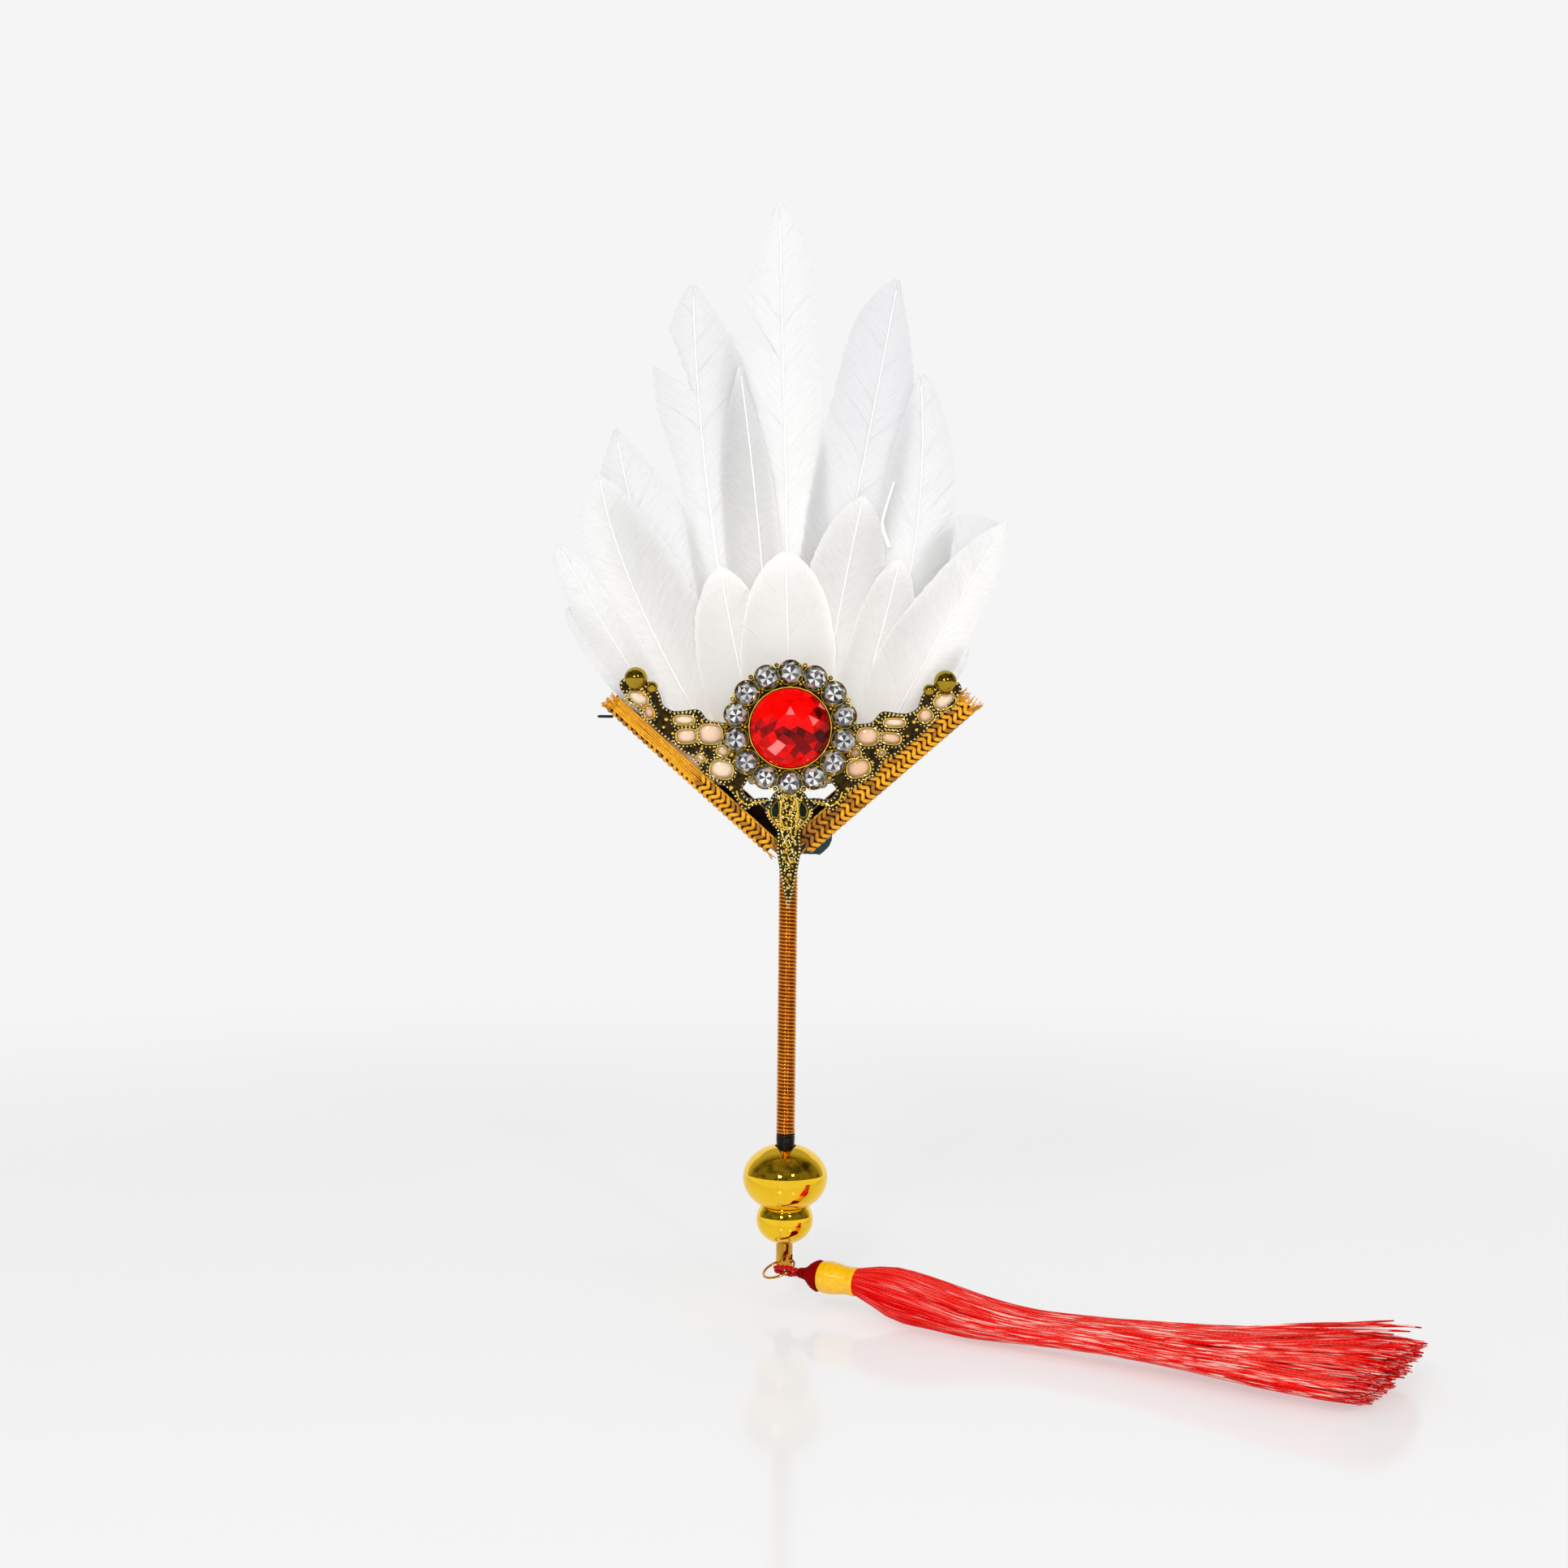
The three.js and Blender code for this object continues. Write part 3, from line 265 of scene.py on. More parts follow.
CORD_TINTS = [(0, grey(0.35)), (0.5, grey(0.85)), (1, grey(1))]
SATIN_TINTS = [(0, (0.75, 0.6, 0.3, 1)), (0.5, (0.97, 0.92, 0.8, 1)), (1, grey(1))]
GLUE_TINTS = [(0, (0.36, 0.24, 0.16, 1)), (0.5, (0.86, 0.7, 0.58, 1)), (1, grey(1))]
BRAID_TINTS = [(0, (0.16, 0.1, 0.05, 1)), (0.5, (0.75, 0.66, 0.5, 1)), (1, grey(1))]
finish = {
    "vane": feather_finish(),
    "rachis": surface("feather_rachis", linear(250, 249, 244), 0.35, spread=0.03, grain=600,
                      Specular_IOR_Level=0.5),
    "silk": silk_finish(),
    # Dark red painted shade for the core that shows between the skirt's yarns
    "silk_shade_core": surface("silk_shade_core", linear(150, 14, 18), 0.7, spread=0.3, grain=900),
    "crimson": surface("crimson_cord", linear(146, 0, 0), 0.6, spread=0.3, grain=1500, bump=0.4,
                       tints=CORD_TINTS, Specular_IOR_Level=0.03),
    "bright_crimson": surface("bright_crimson_cord", linear(196, 0, 8), 0.3, spread=0.25, grain=1500,
                              bump=0.4, tints=CORD_TINTS, Specular_IOR_Level=0.2),
    "satin": surface("gold_satin", linear(255, 190, 4), 0.19, spread=0.12, grain=1200, bump=0.3,
                     tints=SATIN_TINTS, Specular_IOR_Level=0.6),
    "gilt": surface("mirror_gilt", linear(251, 204, 44), 0.035, 1, spread=0.04, grain=250, bump=0.03),
    "stem_gilt": surface("stem_gilt", linear(196, 150, 48), 0.1, 1, spread=0.35, grain=700,
                         stretch=(1, 1, 0.08)),
    "bronze": surface("ring_bronze", linear(214, 160, 66), 0.12, 1, spread=0.2, grain=900, bump=0.15),
    "wire": surface("copper_gilt_wire", linear(222, 142, 46), 0.17, 1, spread=0.2, grain=500, bump=0.12),
    "thread": surface("black_thread", linear(20, 13, 9), 0.22, spread=0.5, grain=1500, bump=0.3,
                      Specular_IOR_Level=0.4),
    "steel": surface("core_steel", linear(140, 132, 120), 0.35, 0.9, grain=500),
    "dark_gilt": surface("dark_antique_gilt", linear(52, 40, 14), 0.2, 0.9, spread=0.7, grain=1100,
                         bump=0.5, depth=0.00012),
    "bead_gilt": surface("bead_gilt", linear(255, 236, 176), 0.12, 1, spread=0.1, grain=700, bump=0.1),
    "olive_gilt": surface("olive_gilt", linear(176, 146, 44), 0.07, 1, grain=300, bump=0.05),
    "bright_gilt": surface("bright_gilt", linear(250, 204, 84), 0.12, 1, spread=0.1, grain=600),
    "glue": surface("hot_glue", linear(255, 218, 188), 0.22, spread=0.1, grain=260, bump=0.3,
                    depth=0.0002, tints=GLUE_TINTS, Coat_Weight=0.5, Coat_Roughness=0.1,
                    Subsurface_Weight=0.4, Subsurface_Scale=0.002),
    "braid": surface("amber_braid", linear(252, 170, 22), 0.26, 0.25, spread=0.2, grain=1300, bump=0.4,
                     tints=BRAID_TINTS),
    # Painted shade for the gaps between the braid's ribbons
    "braid_shade_ground": surface("braid_shade_ground", linear(30, 16, 4), 0.7, spread=0.4, grain=1300, bump=0.5,
                          Specular_IOR_Level=0.1),
    "felt": surface("dark_felt", linear(30, 66, 72), 0.9, spread=0.35, grain=1600, bump=0.8,
                    Sheen_Weight=0.5),
    "pin": surface("dark_pin", linear(22, 20, 20), 0.4, 0.3, spread=0.4, grain=900),
    # The brightest stops of the stone ramps are painted highlights, the darkest painted shade
    "red_glass": facet_finish(
        "red_glass", 0.03, 0, (0, linear(70, 0, 0)), (0.3, linear(140, 0, 0)), (0.55, linear(236, 0, 0)),
        (0.9, linear(255, 6, 4)), (1, linear(255, 128, 126)),
        Coat_Weight=0.1, Coat_Roughness=0.02, Specular_IOR_Level=0.1),
    "crystal": facet_finish(
        "clear_glass", 0.04, 0.6, (0, linear(12, 11, 12)), (0.4, linear(112, 110, 112)),
        (0.75, linear(232, 231, 232)), (1, grey(1)), Coat_Weight=0.6, Coat_Roughness=0.02),
}


# Mesh helpers
class Build:
    """Gathers mesh parts in millimetres, with a tint and a lay painted on each point."""

    def __init__(self):
        self.points, self.faces, self.materials, self.smooth = [], [], [], []
        self.tints, self.lays, self.face_tints, self.count = [], [], [], 0

    def add(self, points, faces, material=0, tint=0.5, lay=(0, 0, 0), face_tints=None):
        """Adds a part. With a tint for each face, the faces are flat."""
        points = np.asarray(points, float).reshape(-1, 3)
        base, n = self.count, len(points)
        self.points.append(points)
        self.faces.extend(tuple(base + i for i in face) for face in faces)
        self.materials.extend([material] * len(faces))
        self.smooth.extend([face_tints is None] * len(faces))
        self.face_tints.extend(face_tints or [math.nan] * len(faces))
        self.tints.append(np.broadcast_to(tint, (n,)))
        self.lays.append(np.broadcast_to(lay, (n, 3)))
        self.count += n

    def make(self, name, materials, replaced=None, body="root", crease=None, move=None):
        """Makes the mesh and a piece from it, which rides a body and may replace a node."""
        points = np.concatenate(self.points)
        if move:
            points = move(points)
        mesh = bpy.data.meshes.new(name)
        mesh.from_pydata((points * MM).tolist(), [], self.faces)
        for key in materials:
            mesh.materials.append(finish[key])
        mesh.polygons.foreach_set("material_index", self.materials)
        mesh.polygons.foreach_set("use_smooth", self.smooth)
        corners = np.concatenate(self.faces)
        by_face = np.repeat(self.face_tints, [len(face) for face in self.faces])
        tints = np.where(np.isnan(by_face), np.concatenate(self.tints)[corners], by_face)
        painted = mesh.attributes.new("tint", "FLOAT", "CORNER")
        painted.data.foreach_set("value", tints.astype(np.float32))
        painted = mesh.attributes.new("lay", "FLOAT_VECTOR", "POINT")
        painted.data.foreach_set("vector", np.concatenate(self.lays).astype(np.float32).ravel())
        mesh.update()
        outwards(mesh, crease)
        piece = placed(name, mesh)
        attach(piece, body)
        if replaced:
            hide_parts(replaced)
        return piece


def outwards(mesh, crease=None):
    """Turns each closed part's faces out, and marks edges past the crease angle as sharp."""
    work = bmesh.new()
    work.from_mesh(mesh)
    bmesh.ops.recalc_face_normals(work, faces=work.faces)
    if crease is not None:
        limit = math.radians(crease)
        for edge in work.edges:
            if len(edge.link_faces) == 2 and edge.calc_face_angle(0) > limit:
                edge.smooth = False
    work.to_mesh(mesh)
    work.free()


def grid_faces(rows, cols, wrap_rows=False):
    """Faces of a grid whose columns close on themselves, and whose rows do if asked."""
    faces = []
    for r in range(rows if wrap_rows else rows - 1):
        for c in range(cols):
            a, b = r * cols + c, r * cols + (c + 1) % cols
            d, e = (r + 1) % rows * cols + c, (r + 1) % rows * cols + (c + 1) % cols
            faces.append((a, b, e, d))
    return faces


def tube_faces(rows, cols):
    """Faces of a tube that is capped at both ends."""
    last = (rows - 1) * cols
    return grid_faces(rows, cols) + [tuple(reversed(range(cols))), tuple(last + i for i in range(cols))]


def shell_faces(rows, across):
    """Faces of a thin closed shell: each row runs across its front, then back across its rear."""
    cols, last = 2 * across, (rows - 1) * 2 * across
    faces = grid_faces(rows, cols)
    for j in range(across - 1):
        other = cols - 1 - j
        faces.append((j, other, other - 1, j + 1))
        faces.append((last + j, last + j + 1, last + other - 1, last + other))
    return faces


def unit(v):
    return v / np.maximum(np.linalg.norm(v, axis=-1, keepdims=True), 1e-12)


def runs_of(line):
    """The length along a line at each of its points."""
    return np.concatenate([[0], np.cumsum(np.linalg.norm(np.diff(line, axis=0), axis=1))])


def sweep(path, radius, sides, hint=(0, 0, 1), squeeze=1.0, turn=0.0):
    """A capped tube along a path. The radius is one value or one for each point."""
    path = np.asarray(path, float)
    n = len(path)
    radius = np.broadcast_to(radius, (n,))[:, None, None]
    along = unit(np.gradient(path, axis=0))
    normal = np.zeros((n, 3))
    last = np.asarray(hint, float)
    for k in range(n):
        last = last - along[k] * last.dot(along[k])
        if np.linalg.norm(last) < 1e-6:
            last = np.cross(along[k], (0.3, 0.9, 0.2))
        last = last / np.linalg.norm(last)
        normal[k] = last
    side = np.cross(along, normal)
    angles = (np.arange(sides) / sides * TAU + turn)[None, :, None]
    rim = np.cos(angles) * normal[:, None] * squeeze + np.sin(angles) * side[:, None]
    return (path[:, None] + radius * rim).reshape(-1, 3), tube_faces(n, sides)


def curve(ends, steps):
    """A Catmull-Rom line through all points but the first and the last, which only steer it."""
    out = []
    for a, b, c, d in zip(ends, ends[1:], ends[2:], ends[3:]):
        for t in np.arange(steps) / steps:
            out.append(0.5 * (2 * b + (c - a) * t + (2 * a - 5 * b + 4 * c - d) * t ** 2
                              + (3 * b - a - 3 * c + d) * t ** 3))
    return out


def smooth_path(points, steps):
    """An open curve through the points."""
    points = np.asarray(points, float)
    ends = np.vstack([2 * points[0] - points[1], points, 2 * points[-1] - points[-2]])
    return np.array(curve(ends, steps) + [points[-1]])


def closed_line(points, steps):
    """A closed curve through the points."""
    return np.array(curve(np.vstack([points[-1:], points, points[:2]]).astype(float), steps))


def lathe(profile, segments, wobble=None):
    """A body turned round Z from [radius, height] points. Points on the axis become poles."""
    points, faces, rows = [], [], []
    for radius, height in profile:
        if radius < 1e-6:
            rows.append([len(points)])
            points.append((0, 0, height))
            continue
        rows.append(range(len(points), len(points) + segments))
        for i in range(segments):
            a = i / segments * TAU
            r = radius + (wobble(a, height) if wobble else 0)
            points.append((r * math.cos(a), r * math.sin(a), height))
    for low, high in zip(rows, rows[1:]):
        for i in range(segments):
            j = (i + 1) % segments
            if len(low) == 1:
                faces.append((low[0], high[j], high[i]))
            elif len(high) == 1:
                faces.append((low[i], low[j], high[0]))
            else:
                faces.append((low[i], low[j], high[j], high[i]))
    return np.array(points, float), faces


def globe(radius, rows, cols, squash=1.0):
    """A ball round the origin, with its poles at the front and back."""
    angles = [math.pi * k / rows for k in range(rows + 1)]
    points, faces = lathe([(radius * math.sin(a), -radius * squash * math.cos(a)) for a in angles], cols)
    return np.column_stack([points[:, 0], -points[:, 2], points[:, 1]]), faces


def ball(build, centre, radius, material, rows=5, cols=8, tint=0.5, squash=1.0):
    points, faces = globe(radius, rows, cols, squash)
    build.add(points + np.array(centre), faces, material, tint)


def inside(polygon, x, z):
    """Which of the points lie in the polygon."""
    hit = np.zeros(np.shape(x), bool)
    for (x1, z1), (x2, z2) in zip(polygon, np.roll(polygon, -1, axis=0)):
        crosses = (z1 > z) != (z2 > z)
        with np.errstate(divide="ignore", invalid="ignore"):
            at = (x2 - x1) * (z - z1) / (z2 - z1) + x1
        hit ^= crosses & (x < at)
    return hit


# Feathers: quill end, middle and tip of each shaft, vane widths and splits, in thousandths of the reach.
# Layer 0 lies in front, tone runs from shaded to bright, and quill is the shaft's radius at its foot.
STATIONS = [0, 0.12, 0.25, 0.4, 0.55, 0.7, 0.8, 0.88, 0.94, 0.98, 1]
FEATHERS = {
    "centre_tall": dict(
        layer=6, tone=0.62, quill=0.62, path=[(0, 130), (-9, 520), (-25, 1000)],
        left=[11, 30, 60, 82, 97, 99, 86, 52, 29, 12], right=[11, 30, 52, 67, 67, 61, 54, 52, 40, 18],
        splits=[[(-19, 763), (-89, 855), (-134, 840), (-110, 813)]]),
    "right_tall": dict(
        layer=5, tone=0.16, quill=0.3, path=[(22, 150), (98, 560), (156, 886)],
        left=[7, 30, 60, 71, 73, 66, 62, 54, 37, 18], right=[7, 30, 56, 67, 71, 63, 48, 30, 15, 6]),
    "left_tall": dict(
        layer=4, tone=0.38, quill=0.6, path=[(-58, 150), (-127, 550), (-153, 874)],
        left=[7, 22, 37, 41, 40, 66, 69, 42, 26, 15], right=[11, 37, 75, 97, 99, 87, 72, 51, 28, 11],
        splits=[[(-151, 712), (-184, 800), (-239, 794), (-216, 758)]]),
    "left_inner": dict(
        layer=3, tone=0.55, quill=0.25, path=[(-22, 150), (-47, 465), (-82, 754)],
        left=[7, 22, 45, 56, 56, 52, 42, 29, 16, 7], right=[7, 22, 33, 33, 32, 30, 22, 14, 7, 4]),
    "right_upper": dict(
        layer=3, tone=0.4, quill=0.3, path=[(90, 140), (180, 440), (191, 745)],
        left=[7, 26, 49, 58, 62, 58, 49, 34, 19, 8], right=[7, 30, 45, 52, 58, 57, 48, 37, 26, 15],
        splits=[[(209, 542), (257, 594), (263, 573)], [(206, 497), (258, 548), (263, 525)]]),
    "right_back": dict(
        layer=4, tone=0.1, quill=0.25, path=[(119, 170), (209, 373), (312, 521)],
        left=[7, 22, 37, 52, 60, 63, 63, 61, 41, 19], right=[7, 15, 22, 22, 22, 22, 22, 19, 11, 6]),
    "right_low": dict(
        layer=0, tone=0.62, quill=0.35, path=[(125, 150), (232, 360), (324, 522)],
        left=[15, 52, 71, 71, 60, 48, 37, 27, 16, 7], right=[7, 22, 37, 47, 43, 39, 35, 25, 15, 7]),
    "left_upper": dict(
        layer=5, tone=0.3, quill=0.35, path=[(-95, 165), (-205, 410), (-270, 658)],
        left=[7, 22, 37, 45, 49, 49, 45, 36, 19, 7], right=[7, 37, 67, 82, 86, 82, 64, 41, 20, 7]),
    "left_middle": dict(
        layer=2, tone=0.6, quill=0.35, path=[(-103, 150), (-235, 400), (-293, 588)],
        left=[7, 22, 37, 47, 51, 51, 48, 37, 22, 10], right=[7, 45, 75, 87, 84, 67, 51, 36, 22, 9]),
    "left_low": dict(
        layer=0, tone=0.4, quill=0.3, path=[(-180, 190), (-272, 338), (-354, 480)],
        left=[7, 15, 22, 30, 34, 34, 31, 27, 22, 13], right=[7, 22, 34, 37, 34, 28, 24, 22, 16, 10]),
    "left_bottom": dict(
        layer=3, tone=0.3, quill=0.25, path=[(-190, 200), (-268, 292), (-342, 385)],
        left=[7, 15, 22, 27, 27, 25, 22, 19, 15, 7], right=[7, 22, 30, 30, 30, 30, 26, 22, 15, 7]),
    "right_bottom": dict(
        layer=1, tone=0.35, quill=0.25, path=[(165, 190), (221, 260), (271, 330)],
        left=[7, 18, 24, 27, 27, 25, 22, 19, 13, 7], right=[7, 11, 15, 18, 18, 16, 15, 12, 7, 4]),
    "front_centre": dict(
        layer=0, tone=0.85, quill=0.2, path=[(0, 135), (-4, 315), (-10, 475)],
        left=[15, 45, 67, 75, 75, 67, 58, 45, 30, 15], right=[15, 45, 67, 75, 75, 67, 58, 45, 30, 15]),
    "front_left": dict(
        layer=1, tone=0.85, quill=0.2, path=[(-45, 145), (-80, 300), (-110, 450)],
        left=[15, 37, 56, 63, 63, 57, 49, 37, 25, 12], right=[15, 37, 54, 60, 60, 55, 47, 36, 24, 12]),
    "front_right": dict(
        layer=2, tone=0.7, quill=0.2, path=[(37, 145), (71, 370), (108, 560)],
        left=[15, 37, 56, 63, 63, 57, 49, 37, 25, 12], right=[15, 37, 56, 65, 66, 60, 51, 40, 26, 13]),
    "front_outer": dict(
        layer=1, tone=0.7, quill=0.25, path=[(80, 140), (127, 310), (165, 465)],
        left=[11, 30, 42, 46, 46, 42, 36, 28, 19, 10], right=[11, 30, 43, 49, 51, 46, 40, 31, 21, 10]),
}
# A loose curl that lies over the right upper feather
CURL = [(20.6, 1.9, 106.6), (18.7, 1.4, 100.3), (18.4, 1.2, 97.5), (19.8, 1.5, 93.4)]
FIRST_DEPTH, LAYER_PITCH, LAST_LAYER, FORWARD_LEAN = 1.2, 0.58, 6, 0.35
TIP_WIDTH, BARB_PITCH, ACROSS = 0.25, 0.6, 9
WIDTH_RUN = np.linspace(0, 1, 201)


def of_reach(thousandths):
    return np.array(thousandths) / 1000 * REACH


class Shaft:
    """The line of one feather in the head's plane."""

    def __init__(self, path):
        self.quill, middle, self.tip = of_reach(path)
        self.control = 2 * middle - (self.quill + self.tip) / 2
        self.length = np.linalg.norm(self.tip - self.quill)

    def at(self, t):
        t = t[..., None]
        return (1 - t) ** 2 * self.quill + 2 * t * (1 - t) * self.control + t ** 2 * self.tip

    def sideways(self, t):
        t = t[..., None]
        along = unit(2 * (1 - t) * (self.control - self.quill) + 2 * t * (self.tip - self.control))
        return np.stack([along[..., 1], -along[..., 0]], -1)


def fan_depth(layer, x, z):
    """Depth of a layer: the front feathers lean forward a little as they rise."""
    far = np.hypot(x, z) / REACH
    return FIRST_DEPTH + LAYER_PITCH * layer - (LAST_LAYER - layer) * FORWARD_LEAN * far ** 2


def soft_widths(shares):
    """A vane's width all along its shaft, with the corners at the stations rounded off."""
    widths = np.interp(WIDTH_RUN, STATIONS, np.append(of_reach(shares), TIP_WIDTH))
    kernel = np.exp(-np.linspace(-2, 2, 13) ** 2)
    soft = np.convolve(np.pad(widths, 6, mode="edge"), kernel / kernel.sum(), "valid")
    soft[-8:] = widths[-8:]
    return soft


def clumps_of(count, rng):
    """Runs of barbs that cling together, and how far each run opens from the next."""
    runs, start = [], 0
    while start < count - 1:
        end = min(count - 1, start + rng.randint(9, 34))
        if count - 1 - end < 6:
            end = count - 1
        runs.append((start, end, rng.choice([0, 0, 0, 0, 0, 0.15])))
        start = end
    return runs


def add_vane(build, shaft, shares, side, spec, rng):
    """One side of a feather: runs of barbs, each run a thin closed shell."""
    lean, uneven, frayed = 1.15, 0.03, 0.025
    ripple, ripple_length, arch, sag = 0.022, 3.4, 0.26, 0.08
    thick_inside, thinned = 0.10, 0.075
    count, layer = max(40, int(shaft.length / BARB_PITCH)), spec["layer"]
    widths = soft_widths(shares)
    t = np.linspace(0, 0.997, count)
    s = np.linspace(0, 1, ACROSS)
    lead = np.interp(t, WIDTH_RUN, widths) * lean / shaft.length
    left = 1 - t + 0.004
    rag = np.array([noise.noise(Vector((k * 0.45, side * 3.1, layer * 7.7))) for k in range(count)])
    fine = np.array([rng.random() for _ in range(count)])
    trim = 1 - uneven * (rag + 0.5) - frayed * fine

    def barb(k, share, open_by):
        """Points along a barb, which bends on towards the tip."""
        ahead = 1 - left[k] * np.exp(-lead[k] * share ** 0.9 / left[k]) + open_by * share ** 2 / shaft.length
        ahead = np.clip(ahead, 0, 0.999)
        out = np.interp(ahead, WIDTH_RUN, widths) * share * (1 - (1 - trim[k]) * share)
        return shaft.at(ahead) + side * shaft.sideways(ahead) * out[..., None]

    splits = [of_reach(split) for split in spec.get("splits", [])]
    for first, last, gap in clumps_of(count, rng):
        loop, lays = [], []
        rise = rng.uniform(-0.015, 0.015)
        for k in range(first, last + 1):
            open_by = gap * (0.5 - (k - first) / (last - first)) * 2
            spot = barb(k, s, open_by)
            for split in splits:
                hit = inside(split, spot[:, 0], spot[:, 1])
                if hit.any():
                    spot = barb(k, s * max(0.12, s[hit.argmax()] - 0.04), open_by)
            x, z = spot.T
            wave = ripple * np.sin(k * TAU / ripple_length + 2 * s) * np.minimum(1, s * 4) + rise * s
            camber = arch * s ** 2 - sag * np.sin(np.pi * s)
            depth = fan_depth(layer, x, z) + wave + camber
            half = thick_inside - thinned * s
            front = np.column_stack([x, depth - half, z + GRIP_TOP])
            back = np.column_stack([x, depth + half, z + GRIP_TOP])
            run, far = np.full(ACROSS, t[k] * shaft.length), np.full(ACROSS, side * 40.0)
            lay = np.column_stack([run, s * 10, far])
            loop += [front, back[::-1]]
            lays += [lay, lay[::-1]]
        spots = np.concatenate(loop)
        near = np.hypot(spots[:, 0], spots[:, 2] - GRIP_TOP) / REACH
        # Near the quills the tint turns creamy and feeds the painted glow; elsewhere it is the feather's
        # tone, whose low end is painted shade
        quill_cream_and_glow = np.clip(1.4 - 1.75 * near, 0, 1)
        tone = spec["tone"] * (1 - quill_cream_and_glow) + quill_cream_and_glow + rng.uniform(-0.03, 0.03)
        faces = shell_faces(last - first + 1, ACROSS)
        build.add(spots, faces, 0, np.clip(tone, 0, 1), np.concatenate(lays))


def add_feathers():
    for number, (name, spec) in enumerate(FEATHERS.items()):
        rng = random.Random(100 + number)
        build = Build()
        shaft = Shaft(spec["path"])
        add_vane(build, shaft, spec["left"], -1, spec, rng)
        add_vane(build, shaft, spec["right"], 1, spec, rng)
        t = np.linspace(0, 0.97, 60)
        x, z = shaft.at(t).T
        radius = np.maximum(0.19, spec["quill"] * (0.10 + 0.90 * (1 - t) ** 1.2))
        path = np.column_stack([x, fan_depth(spec["layer"], x, z) - 0.03, z + GRIP_TOP])
        build.add(*sweep(path, radius, 8, hint=(0, -1, 0), squeeze=0.6), 1)
        if name == "right_upper":
            line = smooth_path(CURL, 8)
            build.add(*sweep(line, np.linspace(0.2, 0.4, len(line)), 8, hint=(0, -1, 0), squeeze=0.7), 1)
        build.make("feather_" + name + "_vanes", ["vane", "rachis"], "feather_" + name, crease=55)


# Handle: the wire winding and the thread whipping at its foot
def helix(radius, top, bottom, pitch, steps):
    turns = (top - bottom) / pitch
    k = np.linspace(0, turns, int(turns * steps))
    return np.column_stack([radius * np.cos(k * TAU), radius * np.sin(k * TAU), top - pitch * k])


def add_winding():
    out, thick, pitch = 1.615, 0.375, 0.77
    path = helix(out, GRIP_TOP + 0.2, -GRIP_TOP - 0.4, pitch, 26)
    path[:, 2] = np.clip(path[:, 2], -GRIP_TOP + 0.27, GRIP_TOP - 0.37)
    build = Build()
    build.add(*sweep(path, thick, 9, hint=(1, 0, 0)))
    build.make("handle_wire_winding", ["wire"], "handle_winding")


# A loose end of thread: distance from the axis, turn, height, and how much lower the next one lies
LOOSE_END = [(1.75, 0, -30.2, 0.3), (2.2, 0.3, -30.7, 0.2), (2.5, 0.4, -31.1, 0.2)]


def add_whipping():
    rng = random.Random(7)
    out, thick, pitch = 1.72, 0.2, 0.4
    path = helix(out, -28.85, -32.0, pitch, 24)
    path[:, 2] = np.clip(path[:, 2] + 0.02 * np.sin(np.arange(len(path)) * 0.37), -31.72, -29.08)
    path[:, :2] *= np.interp(path[:, 2], [-31.8, -31.2, -30, -28], [0.92, 1.0, 1.04, 1.0])[:, None]
    build = Build()
    build.add(*sweep(path, thick, 7, hint=(1, 0, 0)))
    for k in range(3):
        a = rng.uniform(0, TAU)
        loose = [(r * math.cos(a + turn), r * math.sin(a + turn), height - fall * k)
                 for r, turn, height, fall in LOOSE_END]
        build.add(*sweep(smooth_path(loose, 5), 0.07, 5))
    build.make("handle_thread_whipping", ["thread"], "thread_binding")


# Gourd: two stamped halves that meet on an upright seam
EYE = np.array([0, 0, -56.2222])
RING_X = np.array([0.87816, -0.39098, 0.27564])
RING_Y = np.array([0.35972, 0.15988, -0.91926])
RING_Z = np.cross(RING_X, RING_Y)
SEAM_TURN, STEM_TOP = -10, -53.1


def arc(centre, radius, height, start, end, steps):
    """Part of an ellipse, between two sines of its angle."""
    angles = np.linspace(math.asin(start), math.asin(end), steps + 1)
    return [(radius * math.cos(v), centre + height * math.sin(v)) for v in angles]


def sine(radius, whole):
    return math.sqrt(1 - (radius / whole) ** 2)


def gourd_profile():
    upper, upper_high, lower, lower_high = 8.85, 7.1, 5.95, 5.2
    waist, wall, bore, lip, peg = 4.85, 0.9, 2.2, 2.6, 1.74
    top = -31.61
    upper_mid = top - upper_high * sine(lip, upper)
    waist_at = upper_mid - upper_high * sine(waist, upper)
    lower_mid = waist_at - lower_high * sine(waist, lower)
    foot = lower_mid - lower_high * sine(peg, lower) - 5.4
    throat = waist - wall
    profile = [(0, foot), (peg - 0.5, foot), (peg - 0.15, foot + 0.15), (peg, foot + 0.5)]
    profile += arc(lower_mid, lower, lower_high, -sine(peg, lower), sine(waist, lower), 40)
    profile += arc(upper_mid, upper, upper_high, -sine(waist, upper), sine(lip, upper), 56)[1:]
    profile += [(bore, top)]
    profile += arc(upper_mid, upper - wall, upper_high - wall, sine(bore, upper - wall),
                   -sine(throat, upper - wall), 14)
    profile += arc(lower_mid, lower - wall, lower_high - wall, sine(throat, lower - wall),
                   -sine(throat, lower - wall), 10)
    return profile + [(0, lower_mid - lower_high + wall)]


def cutter(points, faces):
    mesh = bpy.data.meshes.new("cutter")
    mesh.from_pydata((points * MM).tolist(), [], faces)
    outwards(mesh)
    return placed("cutter", mesh)


def carve(piece, cutters):
    """Takes the cutters off the piece for good."""
    for tool in cutters:
        modifier = piece.modifiers.new("carve", "BOOLEAN")
        modifier.object, modifier.operation, modifier.solver = tool, "DIFFERENCE", "EXACT"
    old = piece.data
    made = bpy.data.meshes.new_from_object(piece.evaluated_get(bpy.context.evaluated_depsgraph_get()))
    piece.modifiers.clear()
    piece.data = made
    bpy.data.meshes.remove(old)
    for tool in cutters:
        data = tool.data
        bpy.data.objects.remove(tool)
        bpy.data.meshes.remove(data)


